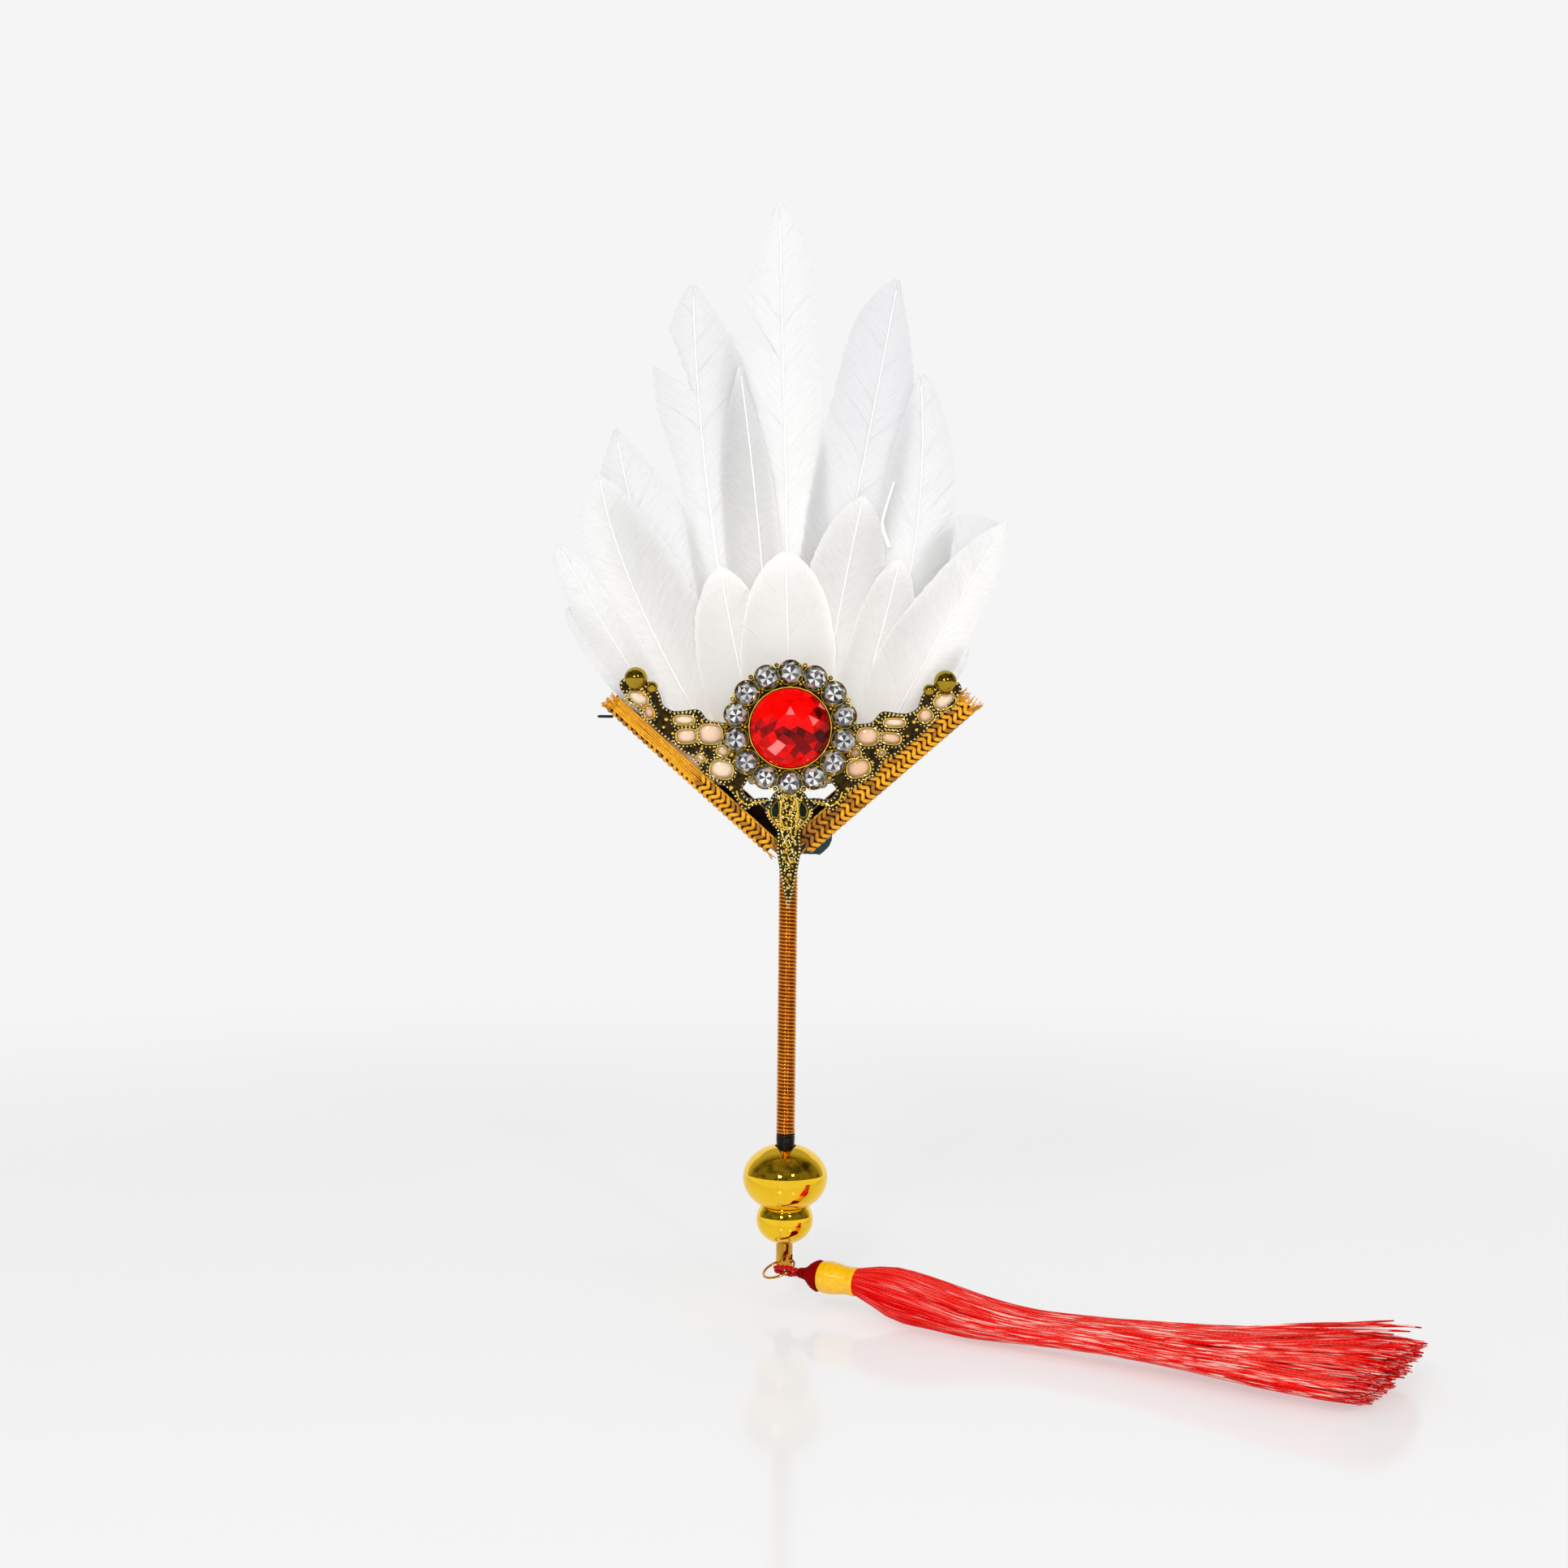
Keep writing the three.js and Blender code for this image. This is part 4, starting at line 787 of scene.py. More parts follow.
def half_space(side):
    """A box over one side of the seam."""
    past, wide = 0.02, 12
    low, high = (-past, wide) if side > 0 else (-wide, past)
    corners = [(x, y, z) for x in (low, high) for y in (-wide, wide) for z in (-70, -20)]
    turn = Matrix.Rotation(math.radians(SEAM_TURN), 3, "Z")
    faces = [(0, 1, 3, 2), (4, 6, 7, 5), (0, 4, 5, 1), (2, 3, 7, 6), (0, 2, 6, 4), (1, 5, 7, 3)]
    return np.array([turn @ Vector(corner) for corner in corners]), faces


def add_gourd():
    eye_radius, crease = 0.92, 32
    points, faces = lathe(gourd_profile(), 96)
    line = np.array([EYE - RING_X * 4, EYE + RING_X * 4])
    for name, side in (("left", 1), ("right", -1)):
        build = Build()
        build.add(points, faces)
        build.materials = [int(points[list(face), 2].mean() < STEM_TOP) for face in faces]
        node_name = "gourd_" + name
        piece = build.make(node_name + "_shell", ["gilt", "stem_gilt"], node_name + "_half")
        carve(piece, [cutter(*half_space(side)), cutter(*sweep(line, eye_radius, 28, hint=RING_Y))])
        outwards(piece.data, crease)


def add_seam():
    """The bright line of solder that runs up both sides of the seam."""
    rim = [(r, z) for r, z in gourd_profile() if r > 1.6][:96]
    build = Build()
    for angle in (math.radians(SEAM_TURN - 90), math.radians(SEAM_TURN + 90)):
        line = [(r * math.cos(angle), r * math.sin(angle), z) for r, z in rim]
        build.add(*sweep(line, 0.085, 6, hint=(0, -1, 0)))
    build.make("gourd_seam_line", ["bright_gilt"])


# Jump ring, in its own plane through the eye
def add_ring():
    radius, thick, slit = 3.45, 0.26, 0.3
    half = slit / radius / 2
    start = math.radians(-100)
    a = np.linspace(start + half, start + TAU - half, 90)
    path = EYE + radius * (np.cos(a)[:, None] * RING_X + (np.sin(a)[:, None] - 1) * RING_Z)
    build = Build()
    build.add(*sweep(path, thick, 14, hint=RING_Y))
    build.make("jump_ring_wire", ["bronze"], "jump_ring", "ring", crease=50)


# Tassel, built in its own frame: u runs from the knot's nose to the skirt's end
JOINT = np.array([3.5, -7.1, -56.8222])
TASSEL_FRAME = np.array([(0.882948, -0.469472, 0), (0.469472, 0.882948, 0), (0, 0, 1)])


def from_tassel(points):
    return JOINT + np.asarray(points, float) @ TASSEL_FRAME


def along_tassel(points):
    return np.column_stack([points[:, 2], points[:, 0], points[:, 1]])


def add_loop():
    """Two plies of cord that run from the knot round the ring's wire and back."""
    ply_thick, ply_out, ply_pitch = 0.34, 0.26, 2.1
    end, spread, roll = -1.45, 0.62, math.radians(26)
    bend = end - 4.5
    upper = [(bend + spread * run, 0, spread * rise) for run, rise in ((0.14, 0.5), (0.5, 0.85), (1, 1))]
    upper += [(-3.9, 0, 0.72), (-2.8, 0, 0.86), (-1.9, 0, 0.64), (end, 0, 0.52), (0.2, 0, 0.42)]
    lower = [(x, y, -z) for x, y, z in upper]
    line = smooth_path(upper[::-1] + [(bend, 0, 0)] + lower, 7)
    line = np.column_stack([line[:, 0], -line[:, 2] * math.sin(roll), line[:, 2] * math.cos(roll)])
    along = unit(np.gradient(line, axis=0))
    first = unit(np.cross(along, (0, math.cos(roll), math.sin(roll))))
    second = np.cross(along, first)
    build = Build()
    for ply in (0, 1):
        a = runs_of(line) / ply_pitch * TAU + ply * math.pi
        path = line + ply_out * (np.cos(a)[:, None] * first + np.sin(a)[:, None] * second)
        points, faces = sweep(smooth_path(path, 2), ply_thick, 8)
        # Painted light and shade: the upper half of the cord is painted lighter than the lower half
        build.add(points, faces, 0, np.where(points[:, 2] > 0, 0.8, 0.35))
    piece = build.make("tassel_cord_loop", ["bright_crimson"], "tassel_loop", "loop",
                       move=from_tassel)
    piece.parent = None
    points = from_tassel([(-2.6, 0, 0), (-0.4, 0, 0)]) * MM
    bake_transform(piece)


def add_knot():
    nose, length, big, pitch, relief = 1.15, 4.5, 3.35, 0.62, 0.11
    run = [-nose, -0.95, -0.4, 0.3, 1.0, 1.7, 2.4, 3.1, 3.7, 4.2, length]
    radius = [0.02, 0.6, 1.0, 1.12, 1.25, 1.7, 2.35, 2.85, 3.15, 3.3, 3.2]
    u = np.linspace(-nose, length, 110)
    side = [(max(0.05, a), b) for a, b in zip(np.interp(u, run, radius), u)]

    def turns(angle, height):
        """Relief of the turns of cord, which leaves out the nose and the end."""
        lay = height + 0.35 * math.cos(angle) + 0.12 * math.sin(3 * angle)
        share = min(1, max(0, height + 1.1)) if height < big + 1.1 else 0
        return relief * (abs(math.sin(lay * math.pi / pitch)) - 0.6) * share

    points, faces = lathe([(0, -nose)] + side + [(0, length)], 56, turns)
    tint = 0.3 + 0.25 * np.clip(np.hypot(points[:, 0], points[:, 1]) / big, 0, 1)
    build = Build()
    build.add(along_tassel(points), faces, 0, tint)
    build.make("tassel_knot_wound", ["crimson"], "tassel_knot", "tassel", move=from_tassel)


def add_wrap():
    start, length, inner, pitch, relief = 4.8, 8.2, 2.5, 0.27, 0.04
    end = start + length
    u = np.linspace(0, 1, 150)
    r = np.interp(u, [0, 0.04, 0.12, 0.25, 0.45, 0.62, 0.8, 0.95, 1],
                  [3.0, 3.2, 3.34, 3.4, 3.22, 2.98, 2.88, 3.0, 2.9])
    outer = [(a, start + length * b) for a, b in zip(r, u)]

    def threads(angle, height):
        """Relief of the satin's turns, on the outside alone."""
        lay = (height - start) / pitch + 0.5 * math.sin(2 * angle) + 0.35 * math.sin(5 * angle + 1)
        return relief * (abs(math.sin(lay * math.pi)) - 0.5) if start < height < end else 0

    points, faces = lathe([(inner, start)] + outer + [(inner, end), (inner, start)], 72, threads)
    tint = [0.85 + 0.15 * noise.noise(Vector((x * 0.3, y * 0.3, z * 2))) for x, y, z in points]
    build = Build()
    build.add(along_tassel(points), faces, 0, tint)
    build.make("tassel_satin_wrap", ["satin"], "tassel_wrap", "tassel", crease=60,
               move=from_tassel)


SKIRT_LENGTH, SKIRT_START, YARNS = 112, 13.6, 1400
# Half the width of the skirt where it comes out of the wrap
NECK = 2.1
# Stations of the skirt, as shares of its length and of its greatest sizes: run, half width, half height,
# drop and drift
SKIRT_LINE = smooth_path(np.array([
    [0, 0.2, 0.57, 0, 0], [0.03, 0.3, 0.75, 0.02, 0], [0.085, 0.4, 1.02, 0.15, 0],
    [0.16, 0.44, 0.94, 0.25, -0.05], [0.24, 0.48, 0.77, 0.4, 0], [0.33, 0.5, 0.58, 0.46, 0.1],
    [0.43, 0.53, 0.53, 0.43, 0.25],
    [0.54, 0.61, 0.56, 0.38, 0.4], [0.66, 0.76, 0.66, 0.33, 0.5], [0.78, 0.9, 0.84, 0.3, 0.6],
    [0.9, 0.97, 1.0, 0.28, 0.8], [1, 0.99, 1.06, 0.27, 1],
]) * [SKIRT_LENGTH, 15, 5.4, -7.6, 5], 8)


def skirt_at(u):
    """Half width, half height, height and drift of the skirt at a run from its start."""
    return tuple(np.interp(u, SKIRT_LINE[:, 0], SKIRT_LINE[:, k]) for k in range(1, 5))


def lock_of(a, b):
    """The lock of yarns that a place in the skirt's section belongs to."""
    return round(4 * math.atan2(b, a)), round(3 * math.hypot(a, b))


def strand(a, b, end, rng):
    """Path of one yarn: it wanders a little by itself and with the lock of yarns round it."""
    margin, steps = 0.3, 38
    u = np.concatenate([[-7.5, -2.5], np.linspace(0, 1, steps) ** 0.9 * end])
    half_width, half_height, height, drift = skirt_at(np.clip(u, 0, SKIRT_LENGTH))
    neck = np.clip(-u / 2.5, 0, 1)
    half_width = half_width * (1 - neck) + NECK * neck
    half_height = half_height * (1 - neck) + NECK * neck
    swing = 0.15 * np.clip(u / 60, 0, 1)
    seed = Vector((rng.uniform(0, 99), rng.uniform(0, 99), 0))
    turn, out = lock_of(a, b)
    lock = Vector((turn * 7, out * 5, 9))
    wander = np.array([noise.noise_vector(seed + Vector((0, 0, v / 34)))
                       + 1.1 * noise.noise_vector(lock + Vector((0, 0, v / 26))) for v in u])
    across = np.clip(a + swing * wander[:, 0], -1, 1)
    up = np.clip(b + swing * wander[:, 1], -1, 1)
    size = np.maximum(1, np.hypot(across, up))
    v = drift + across / size * (half_width - margin)
    w = height + up / size * (half_height - margin)
    return np.column_stack([u + SKIRT_START, v, w])


def add_yarn(build, path, thick, number, tint, sides=5):
    """One yarn of the skirt: its lay runs along it and round it, for the twist in its finish."""
    n = len(path)
    radii = np.full(n, thick)
    radii[-2:] *= (0.95, 0.6)
    points, faces = sweep(path, radii, sides, turn=number)
    run = np.repeat(path[:, 0], sides)
    # The tint waves along the yarn and grows lighter towards its end; the last two rings are painted darker,
    # as painted shade at the tip
    tints = np.clip(tint + 0.1 * np.sin(run * 0.35 + number) + 0.0015 * run, 0, 1)
    tints[-2 * sides:] *= 0.55
    lay = np.column_stack([run, np.tile(np.arange(sides) / sides, n), np.full(sides * n, number * 1.7)])
    build.add(points, faces, 0, tints, lay)


def add_skirt():
    """All yarns, stray yarns that lift off the floor at the end, and a dark core whose colour is painted
    shade that shows between them.
    """
    rng = random.Random(31)
    # The yarns' wander takes its offsets from this seed, so it is the same in each run
    noise.seed_set(31)
    build = Build()
    golden_turn, strays, core_sides = 2.399963, 16, 20
    for k in range(YARNS):
        angle = k * golden_turn
        radius = math.sqrt((k + 0.5) / YARNS) ** 0.8
        a, b = radius * math.cos(angle), radius * math.sin(angle)
        reach = SKIRT_LENGTH + 2.5 * b + 1.5 * a
        end = reach * (rng.uniform(0.965, 1.0) if rng.random() < 0.8 else rng.uniform(0.9, 0.97))
        path = strand(a, b, end, rng)
        turn, out = lock_of(a, b)
        lock = Vector((turn * 3.1, out * 2.3, 4))
        # Painted shade and light: inner yarns are painted darker and higher yarns lighter; the lock's noise
        # varies the tone at random
        tint = rng.uniform(0.45, 0.85) - 0.3 * (1 - radius) + 0.08 * b + 0.3 * noise.noise(lock)
        add_yarn(build, path, rng.uniform(0.18, 0.24), k, tint)
    for k in range(strays):
        share = rng.uniform(1.02, 1.12)
        path = strand(rng.uniform(-0.5, 0.6), 0.8, SKIRT_LENGTH * rng.uniform(0.97, 1.02), rng)
        lift = np.clip((path[:, 0] - SKIRT_START - 70) / 42, 0, 1) ** 1.5
        path[:, 2] += lift * rng.choice([0.6, 1.4, 2.4, 3.6]) * share
        add_yarn(build, path, 0.25, YARNS + k, rng.uniform(0.55, 0.85))
    # The core's dark colour is painted shade in the gaps between yarns
    core = []
    a = np.arange(core_sides) / core_sides * TAU
    for u in np.concatenate([[-8.2, -3], np.linspace(0, 106, 30)]):
        half_width, half_height, height, drift = skirt_at(max(u, 0))
        if u < 0:
            half_width, half_height = NECK, NECK
        v, w = drift + 0.84 * half_width * np.cos(a), height + 0.78 * half_height * np.sin(a)
        core.append(np.column_stack([np.full(core_sides, u + SKIRT_START), v, w]))
    build.add(np.concatenate(core), tube_faces(len(core), core_sides), 1)
    build.make("tassel_skirt_yarns", ["silk", "silk_shade_core"], "tassel_skirt", "tassel",
               move=from_tassel)


# Head: the V holder with braid straps, filigree wings, leaf, stone cluster and glue
V_FOOT, V_RISE, V_LENGTH, V_SLOPE = 4.5, 1.83, 44.3, math.radians(41.7)
FLAP_MIDDLE, BACK_MIDDLE, BACK_EDGE = -2.45, 5.39, 5.6
FILIGREE_BACK = -3.0
SPAN, CLUSTER_RISE = 36.0, 28.25


def on_v(side, run, inset):
    """A place in the head's plane, from a run up one arm of the V and an inset from its edge."""
    x = V_FOOT + run * math.cos(V_SLOPE) - inset * math.sin(V_SLOPE)
    return side * x, V_RISE + run * math.sin(V_SLOPE) + inset * math.cos(V_SLOPE) + GRIP_TOP


class Fold:
    """The braid's C-shaped section: a run over it gives inset and depth, and which way is out."""

    def __init__(self, front, back):
        wall, corner = 0.25, 0.7
        turns = [(1 - math.sin(a), 1 - math.cos(a)) for a in np.linspace(0, math.pi / 2, 7)[1:]]
        points = [(front, FLAP_MIDDLE), (wall + corner, FLAP_MIDDLE)]
        points += [(wall + corner * i, FLAP_MIDDLE + corner * d) for i, d in turns]
        points += [(wall, BACK_MIDDLE - corner)]
        points += [(wall + corner * d, BACK_MIDDLE - corner * i) for i, d in turns]
        self.points = np.array(points + [(back, BACK_MIDDLE)])
        self.runs = runs_of(self.points)
        self.width = self.runs[-1]
        along = unit(np.gradient(self.points, self.runs, axis=0))
        self.out = np.column_stack([-along[:, 1], along[:, 0]])
        self.out *= -np.sign(self.out[0, 1])

    def at(self, side, run, across, height):
        run, across, height = np.broadcast_arrays(np.asarray(run, float), across, height)
        inset, depth, out_i, out_d = (np.interp(across, self.runs, v) for v in (*self.points.T, *self.out.T))
        x, z = on_v(side, run, inset + out_i * height)
        return np.stack([x, depth + out_d * height, z], -1)


def braid_shade_ground(build, fold, side):
    """The dark ground below the braid's ribbons, a thin closed shell; its dark colour is painted shade that
    shows in the gaps between ribbons.
    """
    runs = np.linspace(0.15, V_LENGTH - 0.15, 60)
    across = np.linspace(0, fold.width, 46)
    front, back = (fold.at(side, runs[:, None], across[None], height) for height in (0.12, -0.22))
    build.add(np.concatenate([front, back[:, ::-1]], 1), shell_faces(len(runs), len(across)), 1)


def braid_ribbon(build, fold, side, runs, across, heights, width, tint):
    path = fold.at(side, runs, across, heights)
    out = fold.at(side, runs[1], across[1], heights[1] + 1) - fold.at(side, runs[1], across[1], heights[1])
    radii = np.full(len(path), width)
    radii[[0, -1]] *= 0.7
    build.add(*sweep(path, radii, 6, hint=out, squeeze=0.27, turn=math.pi / 6), 0, tint)


def braid_frays(build, fold, side, rng, run, count, reach, width):
    """Loose ends that stand out past one end of the strap."""
    sense = 1 if run > 1 else -1
    steps = np.linspace(0, 1, 6)
    for _ in range(count):
        across = rng.uniform(0, width)
        length = rng.uniform(0.4, 1) * reach
        lift, slip = rng.uniform(-0.3, 0.5), rng.uniform(-0.7, 0.7)
        path = fold.at(side, run - sense * 0.8 + sense * (length + 0.8) * steps, across + slip * steps ** 2,
                       0.1 + lift * steps ** 2)
        build.add(*sweep(path, np.linspace(0.15, 0.08, 6), 5, hint=(0, 1, 0)), 0, rng.uniform(0.3, 1))


def add_strap(name, side, front):
    """A woven strap. At the front edge of the left one, two columns have come undone into straight yarns."""
    rng = random.Random(50 + side)
    fold = Fold(front, BACK_EDGE)
    build = Build()
    braid_shade_ground(build, fold, side)
    columns = round(fold.width / 1.28)
    width, pitch, undone_at = fold.width / columns, 1.38, 21
    for column in range(columns):
        sense = 1 if column % 2 else -1
        undone = side < 0 and column < 2
        for row in range(int(V_LENGTH / pitch)):
            run = (row + 0.5) * pitch
            if undone and run > undone_at:
                continue
            a = np.linspace(-0.06, 1.06, 6)
            runs = np.clip(run + sense * 1.3 * (a - 0.5), 0.05, V_LENGTH - 0.05)
            heights = 0.15 + 0.14 * np.sin(np.pi * np.clip(a, 0, 1))
            tint = rng.choice([0.25, 0.5, 0.75, 0.95, 1])
            # Painted shade: the first three columns near the right strap's foot are painted darker, for the
            # shadow in its fold
            if side > 0 and run < 9 and column < 3:
                tint *= 0.15 + 0.05 * run
            across = np.clip((column + a) * width, 0, fold.width)
            braid_ribbon(build, fold, side, runs, across, heights, 0.43, tint)
        if undone:
            for yarn_at in np.arange(column * width + 0.25, (column + 1) * width, 0.42):
                runs = np.linspace(20.2, V_LENGTH - 0.1, 14)
                heights = 0.2 + 0.05 * np.sin(runs * 0.9 + yarn_at * 9)
                across = yarn_at + 0.06 * np.sin(runs * 0.5 + yarn_at)
                braid_ribbon(build, fold, side, runs, across, heights, 0.23, rng.uniform(0.7, 1))
    for across in (0.02, fold.width - 0.02):
        path = fold.at(side, np.linspace(0.1, V_LENGTH - 0.1, 60), across, 0.08)
        build.add(*sweep(path, 0.2, 8), 0, 0.95)
    braid_frays(build, fold, side, rng, V_LENGTH, 34, 2.6 if side > 0 else 1.5, 6.5)
    braid_frays(build, fold, side, rng, 0, 14, 2.2, 4.5)
    braid_frays(build, fold, side, rng, V_LENGTH, 16, 1.5, fold.width)
    build.make(name + "_braid", ["braid", "braid_shade_ground"], name)


def flat_plate(outline, holes, back, thick, bevel=0.12):
    """A plate with rounded edges in the XZ plane, as points and faces. Its back lies at the given depth."""
    line = bpy.data.curves.new("outline", "CURVE")
    line.dimensions, line.fill_mode = "2D", "BOTH"
    line.extrude, line.offset = thick / 2 - bevel, -bevel
    line.bevel_depth, line.bevel_resolution = bevel, 1
    for ring in [outline] + list(holes):
        spline = line.splines.new("POLY")
        spline.points.add(len(ring) - 1)
        for point, (x, z) in zip(spline.points, ring):
            point.co = (x, z, 0, 1)
        spline.use_cyclic_u = True
    holder = placed("outline", line)
    mesh = bpy.data.meshes.new_from_object(holder.evaluated_get(bpy.context.evaluated_depsgraph_get()))
    work = bmesh.new()
    work.from_mesh(mesh)
    bmesh.ops.remove_doubles(work, verts=work.verts, dist=1e-4)
    points = np.array([(v.co.x, back - thick / 2 - v.co.z, v.co.y) for v in work.verts])
    faces = [[v.index for v in f.verts] for f in work.faces]
    work.free()
    bpy.data.objects.remove(holder)
    bpy.data.curves.remove(line)
    bpy.data.meshes.remove(mesh)
    return points, faces


def spaced(ring, pitch):
    """Evenly spaced points on a closed line."""
    line = np.vstack([ring, ring[:1]])
    runs = runs_of(line)
    count = max(6, round(runs[-1] / pitch))
    at = np.arange(count) / count * runs[-1]
    return np.column_stack([np.interp(at, runs, line[:, 0]), np.interp(at, runs, line[:, 1])])


def normals_of(ring):
    """Which way is sideways at each point of a closed line."""
    along = unit(np.roll(ring, -1, axis=0) - np.roll(ring, 1, axis=0))
    return np.column_stack([-along[:, 1], along[:, 0]])


def moved_in(ring, by):
    """A closed line moved inwards, square to itself."""
    area = np.sum(ring[:, 0] * np.roll(ring[:, 1], -1) - np.roll(ring[:, 0], -1) * ring[:, 1])
    return ring + normals_of(ring) * np.sign(area) * by


def round_ring(ring, depth, radius, sides=8):
    """A closed tube along a closed line in the XZ plane."""
    normal = normals_of(ring)
    a = np.arange(sides) / sides * TAU
    x, z = (ring[:, None, k] + radius * np.cos(a) * normal[:, None, k] for k in (0, 1))
    y = np.broadcast_to(depth + radius * np.sin(a), x.shape)
    return np.stack([x, y, z], -1), grid_faces(len(ring), sides, wrap_rows=True)


def bead_row(build, ring, depth, radius, pitch, rng):
    for x, z in spaced(ring, pitch):
        ball(build, (x, depth, z), radius * rng.uniform(0.86, 1.1), 1, 5, 7, rng.uniform(0.3, 1))


# Filigree wing outline, in thousandths of the span from the cluster's centre
WING = [
    (245, -325), (266, -360), (250, -400), (215, -417), (125, -411), (128, -440), (205, -458), (235, -482),
    (276, -464), (304, -420), (335, -375), (400, -325), (455, -292), (500, -262), (535, -185), (600, -155),
    (660, -105), (720, -62), (790, 5), (870, 100), (950, 185), (965, 235), (935, 262), (880, 225),
    (835, 215), (800, 245), (745, 190), (720, 115), (670, 83), (620, 80), (540, 90), (505, 78), (455, 25),
    (340, 10), (280, -40), (235, -170), (235, -280),
]
# Cells: centre, half width and half height in thousandths of the span, a slant in degrees and a glue tint
CELLS = {
    -1: [(862, 150, 50, 34, -25, 1.0), (800, 75, 24, 34, 20, 0.55), (600, 30, 50, 24, 0, 1.0),
         (585, -62, 50, 35, 4, 0.85), (452, -48, 60, 48, 0, 0.9), (380, -145, 30, 26, -30, 0.8),
         (385, -250, 56, 44, -12, 1.0), (505, -185, 22, 17, -40, 0.95)],
    1: [(872, 155, 52, 36, 25, 0.95), (765, 70, 34, 32, 40, 0.6), (590, 28, 52, 22, 0, 1.0),
        (572, -62, 48, 28, -6, 0.6), (440, -52, 52, 42, 0, 0.7), (370, -150, 28, 24, 30, 0.3),
        (390, -235, 56, 42, 14, 0.55), (520, -145, 19, 15, 35, 0.35)],
}
CELL_GROWTH = 1.22
# Bosses on a wing's face: centre in thousandths of the span, and radius
BOSSES = [(700, 35, 0.55), (715, -10, 0.45), (500, 30, 0.4), (500, -130, 0.45), (470, -200, 0.4),
          (830, 185, 0.5), (665, -45, 0.42), (330, -350, 0.55), (270, -430, 0.5)]
# The raised scroll on the wing's lower hook
SCROLL = [(130, -425), (200, -437), (240, -450), (285, -410), (300, -370)]
END_BEAD, SMALL_BEAD = (874, 262), (783, 214)


def on_wing(side, x, z):
    return side * SPAN * (x / 1000), CLUSTER_RISE + SPAN * (z / 1000) + GRIP_TOP


def slanted(side, cell, dx, dz):
    """Offsets turned by a cell's slant and set round its centre, as x and z."""
    cx, cz = on_wing(side, *cell[:2])
    t = math.radians(cell[4])
    return cx + dx * math.cos(t) - dz * math.sin(t), cz + dx * math.sin(t) + dz * math.cos(t)


def cell_size(cell):
    return SPAN * CELL_GROWTH * cell[2] / 1000, SPAN * CELL_GROWTH * cell[3] / 1000


def cell_ring(side, cell):
    a = np.arange(28) / 28 * TAU
    wide, high = cell_size(cell)
    dx, dz = (half * np.sign(v) * np.abs(v) ** 0.7 for half, v in ((wide, np.cos(a)), (high, np.sin(a))))
    return np.column_stack(slanted(side, cell, dx, dz))


def add_wing(name, side):
    """A pierced plate with a beaded rim, wired and beaded cells, bosses, a ball and a raised scroll."""
    rim, wires, cell_beads, bosses = -3.86, -3.72, -3.88, -3.75
    rng = random.Random(70 + side)
    outline = closed_line([on_wing(side, x, z) for x, z in WING], 4)
    cells = [cell_ring(side, cell) for cell in CELLS[side]]
    build = Build()
    build.add(*flat_plate(outline, cells, FILIGREE_BACK, 0.8))
    bead_row(build, moved_in(spaced(outline, 0.3), 0.32), rim, 0.3, 0.84, rng)
    for ring in cells:
        build.add(*round_ring(ring, wires, 0.17), 2)
        bead_row(build, moved_in(ring, -0.5), cell_beads, 0.27, 0.8, rng)
    for x, z, radius in BOSSES:
        cx, cz = on_wing(side, x, z)
        ball(build, (cx, bosses, cz), radius, 2, 8, 12)
    cx, cz = on_wing(side, *SMALL_BEAD)
    ball(build, (cx, -3.5, cz), 1.25, 3, 16, 24)
    scroll = [on_wing(side, x, z) for x, z in SCROLL]
    line = smooth_path([(x, -3.85, z) for x, z in scroll], 6)
    build.add(*sweep(line, 0.22, 8, hint=(0, -1, 0)), 2)
    build.make(name + "_filigree", ["dark_gilt", "bead_gilt", "bright_gilt", "olive_gilt"],
               name, crease=40)


def add_end_bead(name, side):
    x, z = on_wing(side, *END_BEAD)
    build = Build()
    ball(build, (x, -3.5, z), 2.38, 0, 30, 44)
    points, faces = lathe([(0, 0), (1.0, 0), (1.15, 0.15), (1.0, 0.35), (0, 0.35)], 24)
    build.add(points + np.array((x, -3.5, z - 2.55)), faces)
    build.make(name + "_ball", ["olive_gilt"], name, crease=50)


# Leaf outline on the right, from its tongue's tip to its neck, as [x, rise], and the opening in its lobe
LEAF = [
    [0, -9.4], [0.8, -6.4], [1.5, -3], [2.1, 0.2], [2.5, 3.2], [2.35, 5.4], [2.5, 6.8], [3.3, 7.8],
    [4.3, 9.1], [4.9, 10.5], [4.9, 11.5], [4.15, 12.0], [3.9, 13.2], [3.2, 14.4], [2.2, 15.1], [1.9, 15.7],
    [0, 15.8],
]
LOBE_HOLE = [[2.5, 9.5], [3.4, 9.9], [3.7, 11.0], [3.1, 12.3], [2.4, 13.0], [2.1, 12.0], [2.0, 10.6]]
LEAF_RIBS = [[(0.5, 7.2), (1.5, 8.6), (1.8, 10.6), (1.5, 12.8), (0.7, 14.4)],
             [(1.0, 6.6), (2.7, 8.3), (4.0, 9.9), (4.3, 11.2)]]


